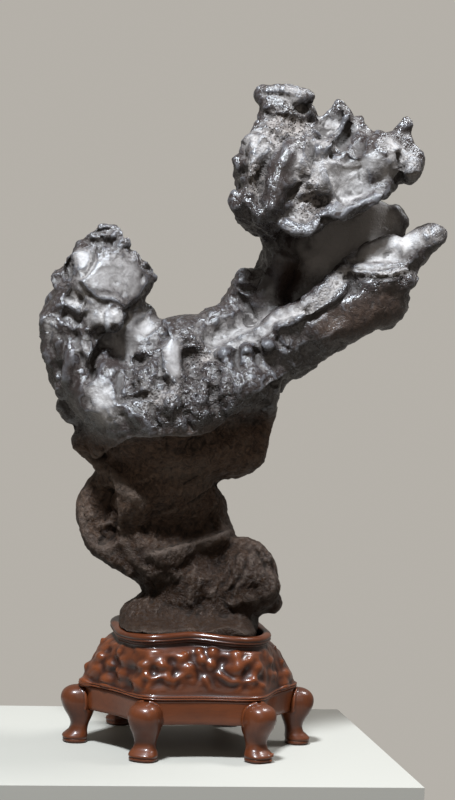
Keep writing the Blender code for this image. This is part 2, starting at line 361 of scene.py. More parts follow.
def draw(points, normals, tree, side, tool, width, lift, places):
    """One stroke of a tool: moves the skin near the path along its normals."""
    spots, away = land_all(tree, side, places)
    path = smooth_path(spots)
    near = close_by(points, path, STEP_HIGH_REACH * width + 2)
    flat_path = squashed(path, away)
    gaps = squashed(points[near], away)[:, None, :] - flat_path[None, :, :]
    far = (gaps ** 2).sum(axis=2)
    best = far.argmin(axis=1)
    gap = np.sqrt(far[np.arange(len(near)), best])
    weight = facing(normals[near], away)
    if len(path) > 1:
        along = np.linspace(0, 1, len(path))
        ends = np.minimum(along, 1 - along)[best]
        weight = weight * np.clip(0.25 + ends / END_TAPER, 0, 1)
    if tool == "step":
        aside = np.cross(np.gradient(flat_path, axis=0)[best], away)
        off = gaps[np.arange(len(near)), best]
        amount = step_shape(gap * np.sign((off * aside).sum(axis=1)), width)
    else:
        amount = TOOLS[tool](gap / width)
    points[near] += normals[near] * (lift * amount * weight)[:, None]


def inset(spots, outline):
    """How far in the flat outline each spot is, or below nought how far out of it."""
    gap = np.full(len(spots), np.inf)
    inside = np.zeros(len(spots), dtype=bool)
    for start, end in zip(outline, np.roll(outline, -1, axis=0)):
        run = end - start
        along = np.clip(((spots - start) @ run) / (run @ run), 0, 1)
        gap = np.minimum(gap, np.linalg.norm(spots - (start + along[:, None] * run), axis=1))
        crosses = (start[1] > spots[:, 1]) != (end[1] > spots[:, 1])
        beside = run[0] * (spots[:, 1] - start[1]) - run[1] * (spots[:, 0] - start[0])
        inside ^= crosses & (beside * run[1] > 0)
    return np.where(inside, gap, -gap)


def scrape(points, normals, tree, side, soft, lift, corners):
    """Planes a patch flat, from its corners, and raises or sinks it by the lift."""
    spots, away = land_all(tree, side, corners)
    away = away / np.linalg.norm(away)
    right = np.cross(away, (0, 0, 1.0))
    right = right / np.linalg.norm(right)
    up = np.cross(right, away)
    middle = np.mean(spots, axis=0)
    turned = np.stack([right, up, away], axis=1)
    outline = (np.array(spots) - middle) @ turned
    flat = np.column_stack([outline[:, :2], np.ones(len(outline))])
    slope = np.linalg.lstsq(flat, outline[:, 2], rcond=None)[0]
    offset = (points - middle) @ turned
    reach = np.abs(outline[:, :2]).max() + soft + 2
    near = np.where((np.abs(offset) < (reach, reach, SCRAPE_DEPTH)).all(axis=1))[0]
    across = offset[near, :2]
    weight = np.clip(inset(across, outline[:, :2]) / soft + 0.35, 0, 1) * facing(normals[near], away)
    shift = (across @ slope[:2] + slope[2] - offset[near, 2]) * SCRAPE_SHARE - lift
    points[near] += away * (np.clip(shift, -SCRAPE_MOST, SCRAPE_MOST) * weight)[:, None]


def work(mesh, side, strokes):
    """Draws a batch of strokes over the skin from one side."""
    tree = skin_tree(mesh)
    points = skin_points(mesh)
    normals = relax(mesh, skin_normals(mesh), 3)
    normals = normals / np.linalg.norm(normals, axis=1)[:, None]
    for name, tool, *stroke in strokes:
        if tool == "scrape":
            scrape(points, normals, tree, side, *stroke)
        else:
            draw(points, normals, tree, side, tool, *stroke)
    move_skin(mesh, points)
    print(len(strokes), "strokes", side.__name__.replace("_", " "))


# %% Clay to press on
BALL_SPACING = 0.35  # of the smallest ball's radius


def limb(shape, stations):
    """A bar of clay through the stations, each x, y, z and radius in mm."""
    for *centre, radius in smooth_path(stations, BALL_SPACING * min(station[3] for station in stations)):
        place = Matrix.Translation(centre)
        bmesh.ops.create_icosphere(shape, subdivisions=2, radius=radius, matrix=place)


def roll(shape, tree, side, stations):
    """A roll of clay laid on the skin: across, down, radius and how far it stands out, in mm."""
    anchors = []
    for across, down, radius, out in stations:
        spot, away = land(tree, side, (across, down))
        anchors.append((*(spot + away * (radius - out)), radius))
    limb(shape, anchors)


def pinch(mesh, base, tip, reach, share):
    """Draws a limb in towards the line from its base to its tip, more and more above the base."""
    points = skin_points(mesh)
    base = np.array(base, dtype=float)
    run = np.array(tip, dtype=float) - base
    along = ((points - base) @ run) / (run @ run)
    foot = base + np.clip(along, 0, 1)[:, None] * run
    off = points - foot
    near = np.clip(2 - 2 * np.linalg.norm(off, axis=1) / reach, 0, 1) * np.clip(along / 0.45, 0, 1)
    move_skin(mesh, foot + off * (1 - (1 - share) * near)[:, None])


def trim(mesh, centre, across, reach):
    """Cuts a limb's end off flat, at right angles to the direction across."""
    points = skin_points(mesh)
    across = np.array(across, dtype=float)
    across = across / np.linalg.norm(across)
    offset = points - np.array(centre, dtype=float)
    high = np.clip(offset @ across, 0, None) * (np.linalg.norm(offset, axis=1) < reach)
    move_skin(mesh, points - high[:, None] * across)


def modified(mesh, kind, **settings):
    """A new mesh: what one modifier makes of this one."""
    holder = placed("clay", mesh)
    modifier = holder.modifiers.new(kind, kind)
    for name, setting in settings.items():
        setattr(modifier, name, setting)
    graph = bpy.context.evaluated_depsgraph_get()
    made = bpy.data.meshes.new_from_object(holder.evaluated_get(graph), depsgraph=graph)
    bpy.data.objects.remove(holder, do_unlink=True)
    return made


def run_together(mesh, voxel, smooth_times):
    """Voxel remesh of everything in the mesh, then a little smoothing."""
    made = modified(mesh, "REMESH", mode="VOXEL", voxel_size=voxel)
    move_skin(made, relax(made, skin_points(made), smooth_times))
    print("run together at", voxel, "mm:", len(made.vertices), "points")
    return made

# %% [markdown]
# ## Sums on a surface
# A finish is worked out point by point: how dusty, how rubbed, how brown, and where light and shade
# are painted. Those sums are easier to read as sums than as a net of nodes, so one small class wraps
# a socket, and an ordinary expression on it adds the Math nodes. Every other node comes from one method.

# %% Shader sums
class Value:
    """A number that varies over the surface."""

    def __init__(self, finish, socket):
        self.finish = finish
        self.socket = socket

    def reckon(self, operation, first, second, clamp=False):
        settings = {"operation": operation, "use_clamp": clamp}
        return self.finish.node("ShaderNodeMath", settings, {0: first, 1: second})

    def __add__(self, other):
        return self.reckon("ADD", self, other)

    def __radd__(self, other):
        return self.reckon("ADD", other, self)

    def __sub__(self, other):
        return self.reckon("SUBTRACT", self, other)

    def __rsub__(self, other):
        return self.reckon("SUBTRACT", other, self)

    def __mul__(self, other):
        return self.reckon("MULTIPLY", self, other)

    def __pow__(self, power):
        return self.reckon("POWER", self, power)

    def held(self):
        """Kept from 0 to 1."""
        return self.reckon("ADD", self, 0.0, clamp=True)


class Finish:
    """A material: its shader, and the one method that adds any other node."""

    def __init__(self, name):
        self.material = bpy.data.materials.new(name)
        self.material.use_nodes = True
        self.tree = self.material.node_tree
        self.shader = self.tree.nodes["Principled BSDF"]
        self.place = self.node("ShaderNodeTexCoord", output="Object")

    def node(self, kind, settings=None, sockets=None, output=0):
        made = self.tree.nodes.new(kind)
        for name, setting in (settings or {}).items():
            setattr(made, name, setting)
        for key, value in (sockets or {}).items():
            self.feed(made.inputs[key], value)
        return Value(self, made.outputs[output])

    def feed(self, socket, value):
        if isinstance(value, Value):
            self.tree.links.new(value.socket, socket)
        else:
            socket.default_value = value

    def noise(self, size, detail=4, roughness=0.6, distortion=0.0, where=None):
        """Noise whose features are about the given size in metres."""
        sockets = {
            "Vector": where or self.place, "Scale": 1 / size, "Detail": detail,
            "Roughness": roughness, "Distortion": distortion,
        }
        return self.node("ShaderNodeTexNoise", None, sockets)

    def attribute(self, name):
        return self.node("ShaderNodeAttribute", {"attribute_name": name}, output="Fac")

    def between(self, share, first, second):
        """A colour from the first to the second."""
        sockets = {"Factor": share, 6: first, 7: second}
        return self.node("ShaderNodeMix", {"data_type": "RGBA"}, sockets, output=2)

    def bump(self, height, distance, strength=1.0):
        sockets = {"Height": height, "Distance": distance, "Strength": strength}
        return self.node("ShaderNodeBump", None, sockets)

    def shade(self, **sockets):
        """Feeds the shader, and gives the finished material."""
        for name, value in sockets.items():
            self.feed(self.shader.inputs[name.replace("_", " ")], value)
        return self.material

    def shade_over(self, share, **sockets):
        """Lays a second shader over the first, as strongly as the share says."""
        sockets = {name.replace("_", " "): value for name, value in sockets.items()}
        over = self.node("ShaderNodeBsdfPrincipled", None, sockets)
        under = Value(self, self.shader.outputs[0])
        blend = self.node("ShaderNodeMixShader", None, {0: share, 1: under, 2: over})
        self.feed(self.tree.nodes["Material Output"].inputs["Surface"], blend)
        return self.material


def rgb(red, green, blue):
    return (red, green, blue, 1.0)

# %% [markdown]
# ## Rolls and knobs
# Every swelling of the stone that stands out from its mass is a roll or a knob, laid along the
# places named here. A station gives the place, the ball's radius and how far it stands out.

# %% Rolls and limbs
FRONT_ROLLS = {
    "outer flank of the left horn": (
        (50, 322, 10, 2), (51, 345, 10, 1.5), (57, 368, 9, 1), (64, 392, 8, 1)),
    "inner flank of the left horn": ((66, 346, 10, 3), (66, 368, 9, 3), (72, 390, 7, 1)),
    "tongue beside the groove": ((82, 322, 7, 3), (87, 340, 7, 5), (87, 355, 5, 4)),
    "knob on the outer side": ((58, 276, 7, 2), (57, 286, 6, 2)),
    "cheek under the bright facet": ((76, 259, 8, 3), (72, 270, 8, 2)),
    "crown of the left horn": ((94, 238, 6, 2), (102, 230, 6, 4), (108, 232, 5, 3)),
    "nub by the crown": ((129, 240, 5, 2.5),),
    "small round flat": ((95, 313, 6, 2), (95, 319, 6, 6), (95, 324, 5, 8)),
    "pimple on the plate": ((124, 286, 3, 2.5),),
    "upright boss": ((172, 340, 9, 3), (174, 358, 10, 6), (172, 378, 9, 6)),
    "bank of the groove": ((148, 314, 9, 2), (134, 330, 9, 3), (125, 348, 9, 3)),
    "block in the middle": ((133, 382, 10, 4), (146, 382, 12, 6), (158, 366, 9, 4)),
    "block's upper corner": ((148, 354, 9, 3), (136, 362, 8, 3)),
    "lobe under the block": ((135, 410, 12, 3), (150, 416, 9, 3)),
    "pitted shoulder": ((175, 400, 15, 4), (200, 405, 12, 3)),
    "first boss on the front edge": ((222, 356, 8, 6), (229, 352, 7, 6)),
    "second boss on the front edge": ((247, 350, 8, 7),),
    "third boss on the front edge": ((268, 347, 10, 8),),
    "nose of the arm": ((280, 328, 6, 5), (292, 325, 6, 5), (306, 321, 5, 3)),
    "crest of the arm": (
        (262, 327, 5, 1), (276, 318, 7, 4), (306, 306, 9, 7), (326, 290, 9, 7), (343, 272, 9, 6),
        (364, 256, 9, 5), (388, 246, 9, 4),
    ),
    "shell of the arm": ((372, 256, 13, 5), (392, 250, 13, 5)),
    "belly of the arm": ((360, 310, 22, 0), (345, 320, 18, 0)),
    "shelf of the shell": ((358, 274, 10, 4), (380, 273, 10, 6), (402, 271, 10, 4)),
    "knuckle of the arm": ((374, 284, 14, 5), (396, 282, 12, 6), (408, 280, 9, 5)),
    "tip of the arm": ((428, 240, 11, 4), (436, 236, 10, 3)),
    "outer lip of the cleft": ((394, 214, 9, 3), (401, 222, 8, 4)),
    "left end of the ledge": ((64, 408, 10, 2), (70, 428, 11, 6), (82, 448, 10, 6), (92, 462, 8, 4)),
    "left side of the body": ((88, 522, 9, 0), (90, 546, 10, 4), (106, 560, 9, 6), (126, 574, 8, 4)),
    "right side under the arm": ((278, 384, 9, 5), (268, 402, 10, 6), (266, 422, 10, 3)),
    "cap": ((264, 96, 10, 2), (284, 94, 9, 1), (306, 98, 9, 3)),
    "left side of the neck": ((259, 114, 6, 1), (254, 128, 7, 2)),
    "shoulder of the neck": ((258, 132, 10, 3), (274, 131, 11, 5), (294, 131, 10, 5)),
    "polished boss": (
        (293, 146, 9, 5), (287, 160, 13, 8), (281, 177, 14, 9), (275, 192, 12, 8), (268, 206, 8, 4)),
    "outer folds": ((257, 148, 7, 2), (254, 168, 7, 4), (251, 188, 7, 4), (249, 206, 6, 3)),
    "knob on the neck": ((238, 164, 9, 2),),
    "lobe under the knob": ((238, 200, 9, 4), (242, 212, 7, 3)),
    "pale lobe": ((249, 140, 8, 2), (262, 142, 7, 3)),
    "bump over the lip": ((386, 183, 8, 6),),
    "left band of the lower body": (
        (92, 462, 6, 1), (111, 474, 8, 2), (135, 492, 9, 2), (150, 506, 7, 0)),
    "swirl over the foot": ((150, 553, 6, 1), (170, 551, 8, 1), (190, 542, 8, 1), (213, 536, 7, 1)),
    "right lobe of the lower body": ((258, 430, 12, 3), (250, 455, 13, 2)),
    "shoulder of the knee": ((238, 548, 10, 2), (252, 551, 10, 3), (262, 560, 9, 2)),
    "knee": ((246, 572, 17, 4), (262, 585, 15, 3)),
    "lower lip of the knee": ((236, 602, 9, 1), (266, 597, 8, 2), (282, 591, 6, 4)),
}

# Limbs that stand clear of the mass, as x, y, z and radius in mm.
FREE_LIMBS = {
    "upper spur": ((-44, -10, 395, 6), (-36, -9, 393, 4.2), (-27, -7, 389.5, 3.6)),
    "lower spur": ((-40, -14, 370, 7), (-33, -12, 372, 4.8), (-25, -10, 376, 3.4)),
    "finger": (
        (108, -18, 476, 7), (117, -18, 486, 6), (124, -14, 497, 5), (127, -8, 507, 4.5),
        (126, -3, 512, 4)),
    "knob behind the finger": ((122, 14, 508, 8), (121, 14, 516, 5)),
    "second knob behind it": ((132, 16, 498, 9), (138, 14, 503, 6)),
    "spike": ((168, 0, 484, 8), (173, 0, 494, 5), (176, 0, 502, 5), (177, 0, 504, 5)),
    "lip of the right horn": (
        (77, -51, 418, 7), (86, -52, 415, 8), (97, -51, 416, 8), (107, -49, 424, 8), (121, -46, 431, 9),
        (136, -40, 437, 9), (151, -32, 445, 8), (162, -24, 451, 7)),
    "slope over the lip": ((89, -47, 426, 9), (97, -46, 428, 9)),
    "round flat": ((-56, -40, 350, 8), (-56, -43, 345, 10), (-56, -46, 340, 8)),
    "end of the right horn": ((177, -23, 469, 9), (178, -28, 460, 9)),
    "peg": ((44, 6, 366, 11), (46, 4, 373, 9), (47, 2, 377, 8)),
}

# %% Run the clay together
welded = bmesh.new()
welded.from_mesh(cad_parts["stone"].data)
welded.transform(rock_home)
bmesh.ops.remove_doubles(welded, verts=welded.verts, dist=0.001)

stone_tree = BVHTree.FromBMesh(welded)
for stations in FRONT_ROLLS.values():
    roll(welded, stone_tree, from_front, stations)
for stations in FREE_LIMBS.values():
    limb(welded, stations)
rolled_mesh = bpy.data.meshes.new("rolled_stone")
welded.to_mesh(rolled_mesh)
welded.free()

VOXEL = 1.35
skin = run_together(rolled_mesh, VOXEL, 4)

# %% The foot, drawn in behind the stand's rim
FOOT_FRONT = -48.5
FOOT_TOP = 112
spread = skin_points(skin)
low = np.clip((FOOT_TOP - spread[:, 2]) / 6, 0, 1) * np.clip((spread[:, 0] + 5) / 15, 0, 1)
spread[:, 1] += np.clip(FOOT_FRONT - spread[:, 1], 0, None) * low
move_skin(skin, spread)

# %% The spike
pinch(skin, (168, 0, 480), (177, 0, 506), 17, 0.95)
trim(skin, (176, 0, 504.0), (0.42, -0.25, 0.87), 12)

# %% [markdown]
# ## What the skin is like where
# The stone is wrinkled on the parts that stood in the water's way, pitted where softer grains
# washed out, rubbed smooth in some places and dusty in others. The dust layer also carries painted
# light and painted shade: it is raised on faces that the light falls on and set to nought where shade
# falls. That is painted on before the work begins, with the same sight lines, and both the tools and
# the finish go by it.

# %% Painting on the skin
BRUSH_FULL = 1.5  # above 1, the brush covers fully in its middle and fades only near its edge


def paint(mesh, side, rows, starts):
    """Layers of paint, each a share from 0 to 1 at every point; a row moves its layer to a value."""
    tree = skin_tree(mesh)
    points = skin_points(mesh)
    normals = skin_normals(mesh)
    layers = {name: np.full(len(points), value) for name, value in starts.items()}
    for name, value, width, places in rows:
        spots, away = land_all(tree, side, places)
        path = smooth_path(spots)
        near = close_by(points, path, width)
        gaps = squashed(points[near], away)[:, None, :] - squashed(path, away)[None, :, :]
        gap = np.sqrt((gaps ** 2).sum(axis=2).min(axis=1))
        touched = np.clip((1 - gap / width) * BRUSH_FULL, 0, 1) * facing(normals[near], away)
        layers[name][near] += (value - layers[name][near]) * touched
    return layers


# %% Where it is wrinkled, pitted, dusty, brown and rubbed, and where light and shade are painted
# A dust row lays dust and painted light together: a high value pales a face that the light falls on, and
# a value of nought is painted shade.
PAINT_ROWS = (
    # the left horn
    ("dust_and_painted_light", 0.62, 24, ((95, 275), (115, 272), (132, 282))),
    ("dust_and_painted_light", 0.8, 9, ((80, 255), (84, 263))),
    ("dust_and_painted_light", 0.9, 11, ((96, 317), (113, 318))),
    ("dust_and_painted_light", 0.6, 18, ((142, 322), (128, 340))),
    ("dust_and_painted_light", 0.75, 17, ((98, 392), (104, 412))),
    ("dust_and_painted_light", 0.6, 12, ((76, 296), (90, 305))),
    ("dust_and_painted_light", 0.5, 9, ((84, 345), (88, 357))),
    ("dust_and_painted_light", 0.45, 8, ((49, 322), (50, 335))),
    ("dust_and_painted_light", 0.1, 14, ((62, 370), (68, 395), (76, 420))),
    ("wrinkles", 0.9, 16, ((100, 238), (118, 242), (130, 246))),
    ("wrinkles", 0.15, 22, ((100, 278), (130, 280))),
    ("wrinkles", 0.7, 10, ((66, 268), (74, 276))),
    ("wrinkles", 0.1, 12, ((140, 320), (124, 345))),
    ("wrinkles", 0.1, 12, ((104, 398),)),
    # the middle
    ("dust_and_painted_light", 0.7, 12, ((172, 344), (174, 370))),
    ("dust_and_painted_light", 0.5, 15, ((205, 335), (240, 325), (262, 312))),
    ("dust_and_painted_light", 0.65, 7, ((205, 357), (228, 344), (250, 335), (268, 326))),
    ("dust_and_painted_light", 0.6, 8, ((142, 380), (146, 388))),
    ("dust_and_painted_light", 0.6, 9, ((148, 402), (165, 393), (176, 388))),
    ("pits", 1.0, 26, ((190, 360), (195, 385), (215, 395))),
    ("pits", 0.8, 20, ((160, 405), (200, 410))),
    ("pits", 0.7, 12, ((145, 362), (135, 375))),
    ("wrinkles", 0.9, 28, ((140, 380), (180, 390), (225, 385))),
    ("wrinkles", 0.1, 9, ((172, 346), (174, 370))),
    ("wrinkles", 0.7, 14, ((220, 365), (250, 362), (280, 352))),
    # the arm
    ("dust_and_painted_light", 0.75, 9, ((276, 318), (306, 308), (326, 292), (343, 272))),
    ("dust_and_painted_light", 0.92, 15, ((362, 256), (385, 248), (405, 240))),
    ("dust_and_painted_light", 0.8, 4, ((353, 271), (376, 273), (394, 273), (410, 270))),
    ("pits", 0.5, 12, ((312, 304), (330, 288), (345, 268), (368, 252))),
    ("pits", 0.5, 13, ((420, 232), (436, 232))),
    ("dust_and_painted_light", 0.7, 12, ((424, 236), (436, 234))),
    ("pits", 0.8, 12, ((360, 284), (380, 286), (398, 282))),
    ("dust_and_painted_light", 0.2, 20, ((340, 325), (372, 318), (390, 310))),
    ("brown", 0.45, 20, ((335, 326), (365, 318), (390, 306))),
    ("wrinkles", 0.1, 24, ((345, 322), (375, 318))),
    # the right horn
    ("dust_and_painted_light", 0.5, 13, ((270, 90), (300, 92))),
    ("dust_and_painted_light", 0.35, 9, ((278, 105),)),
    ("dust_and_painted_light", 0.75, 12, ((250, 141), (266, 140))),
    ("dust_and_painted_light", 0.65, 16, ((275, 125), (298, 122))),
    ("dust_and_painted_light", 0.12, 14, ((292, 150), (282, 172), (272, 197))),
    ("dust_and_painted_light", 0.7, 10, ((254, 160), (252, 185))),
    ("dust_and_painted_light", 0.62, 16, ((308, 170), (306, 196), (304, 214))),
    ("dust_and_painted_light", 0.6, 6, ((286, 229), (300, 233), (318, 226))),
    ("dust_and_painted_light", 1.0, 14, ((352, 174), (370, 162))),
    ("dust_and_painted_light", 0.8, 24, ((318, 165), (334, 175), (345, 186))),
    ("dust_and_painted_light", 0.7, 13, ((412, 160), (414, 178))),
    ("dust_and_painted_light", 0.7, 12, ((320, 135), (330, 122))),
    ("dust_and_painted_light", 0.75, 14, ((385, 170), (400, 160), (398, 145))),
    ("dust_and_painted_light", 0.35, 8, ((322, 213), (345, 210), (366, 202), (386, 192))),
    ("pits", 1.0, 18, ((280, 125), (300, 125))),
    ("pits", 1.0, 14, ((256, 175), (250, 195))),
    ("pits", 0.9, 14, ((272, 185), (270, 205))),
    ("pits", 1.0, 18, ((318, 170), (315, 190), (312, 205))),
    ("pits", 0.5, 12, ((412, 165), (406, 178))),
    ("wrinkles", 0.8, 26, ((330, 185), (360, 190), (385, 180))),
    ("wrinkles", 0.15, 10, ((352, 174), (368, 163))),
    # the cleft: painted shade deep in it, and painted light on the recess that the lip shades
    ("dust_and_painted_light", 0.05, 18, ((275, 260), (290, 290))),
    ("dust_and_painted_light", 1.0, 24, ((322, 254), (345, 235), (382, 215))),
    ("brown", 0.35, 26, ((300, 268), (325, 250), (350, 236), (384, 216))),
    ("wrinkles", 0.0, 28, ((290, 280), (325, 250), (360, 230), (385, 215))),
    ("pits", 0.0, 28, ((290, 280), (325, 250), (360, 230), (385, 215))),
    # the pocket on the lower left: no dust there, as painted shade under the overhang
    ("dust_and_painted_light", 0.0, 18, ((103, 482), (100, 504), (106, 528))),
    # the lower body: dust and painted light on its ridges and bands, and painted shade where it is set
    # to nought
    ("dust_and_painted_light", 0.9, 7, ((86, 457), (106, 471), (126, 489), (142, 503))),
    ("dust_and_painted_light", 0.7, 5, ((120, 530), (133, 559), (146, 571), (166, 578), (180, 575))),
    ("dust_and_painted_light", 0.8, 8, ((150, 556), (182, 549), (210, 540), (226, 534))),
    ("dust_and_painted_light", 0.7, 9, ((84, 500), (82, 520), (88, 540), (108, 550))),
    ("dust_and_painted_light", 0.95, 3.5, ((100, 453), (131, 434), (160, 433), (189, 432), (208, 431))),
    ("dust_and_painted_light", 0.6, 20, ((175, 470), (190, 486), (200, 470))),
    ("dust_and_painted_light", 0.5, 12, ((258, 560), (270, 575))),
    ("dust_and_painted_light", 0.0, 15, ((103, 484), (101, 504), (105, 524))),
    ("dust_and_painted_light", 0.0, 14, ((150, 520), (180, 524), (215, 515))),
    ("dust_and_painted_light", 0.0, 18, ((225, 570), (240, 585))),
    ("wrinkles", 1.0, 22, ((240, 560), (250, 575))),
    # what stays smooth
    ("smooth", 1.0, 28, ((280, 290), (300, 262), (325, 250), (360, 232), (385, 218))),
    ("smooth", 0.75, 13, ((288, 150), (281, 175), (272, 197))),
    ("smooth", 0.85, 26, ((330, 172), (350, 180), (374, 172))),
    ("smooth", 1.0, 16, ((350, 176), (362, 166), (372, 158))),
    ("smooth", 0.8, 24, ((100, 278), (125, 278))),
    ("smooth", 0.8, 9, ((80, 258),)),
    ("smooth", 0.9, 12, ((98, 318), (114, 318))),
    ("smooth", 0.9, 13, ((138, 324), (124, 342), (104, 380), (104, 402))),
    ("smooth", 0.9, 22, ((340, 325), (372, 318), (390, 306))),
    ("smooth", 0.8, 16, ((62, 350), (66, 372), (72, 395))),
    ("smooth", 1.0, 11, ((173, 345), (174, 370))),
    ("smooth", 0.8, 8, ((225, 352),)),
    ("smooth", 0.8, 8, ((247, 347),)),
    ("smooth", 0.8, 9, ((268, 344),)),
    ("smooth", 0.7, 16, ((365, 256), (390, 246), (410, 240))),
    ("smooth", 0.6, 16, ((220, 345), (250, 330), (275, 312))),
)
PAINT_STARTS = {"dust_and_painted_light": 0.18, "wrinkles": 0.45, "pits": 0.35, "smooth": 0.0, "brown": 0.0}

layers = paint(skin, from_front, PAINT_ROWS, PAINT_STARTS)

# %% Lower body: smoother and browner
# The line in mm under which the smooth brown side begins; it rises a little to the right.
LEDGE_HEIGHT = 265.6
LEDGE_RISE = 0.12

here = skin_points(skin)
ledge_line = LEDGE_HEIGHT + LEDGE_RISE * here[:, 0]
under = np.clip((ledge_line - here[:, 2]) / 14, 0, 1)
layers["brown"] = np.maximum(layers["brown"], under)
layers["pits"] *= 1 - 0.8 * layers["smooth"]
layers["pits"] *= 1 - 0.85 * under

# %% Facets knocked off the skin
def chip(mesh, count, size, cut, shares, seed):
    """Planes small facets at random places, so that crisp edges are left between them."""
    jitter = np.random.default_rng(seed)
    points = skin_points(mesh)
    normals = relax(mesh, skin_normals(mesh), 6)
    tree = KDTree(len(points))
    for index, point in enumerate(points):
        tree.insert(point, index)
    tree.balance()
    picks = jitter.choice(len(points), count, p=shares / shares.sum())
    for pick in picks:
        reach = size * jitter.uniform(0.6, 1.5)
        near = np.array([found[1] for found in tree.find_range(points[pick], reach)])
        across = normals[pick] / np.linalg.norm(normals[pick]) + jitter.normal(0, 0.16, 3)
        across = across / np.linalg.norm(across)
        offset = points[near] - points[pick]
        high = offset @ across + cut * jitter.uniform(0.3, 1.0) * reach / size
        fade = np.clip(1.25 - (offset ** 2).sum(axis=1) / reach ** 2, 0, 1)
        points[near] -= across[None, :] * (np.clip(high, 0, 3) * fade * 0.85)[:, None]
    move_skin(mesh, points)


upper = np.clip((here[:, 2] - ledge_line + 6) / 14, 0, 1)
rough_share = (0.3 + upper) * (1 - layers["smooth"])
chip(skin, 120, 17, 1.8, rough_share, 10)
chip(skin, 420, 10, 1.1, rough_share, 11)

# %% [markdown]
# ## Grooves, ridges and facets
# A stroke is a tool, its width, how far it lifts the skin or, below nought, cuts it, and the
# places that it passes. A step has its high side on the left of the way it is drawn.

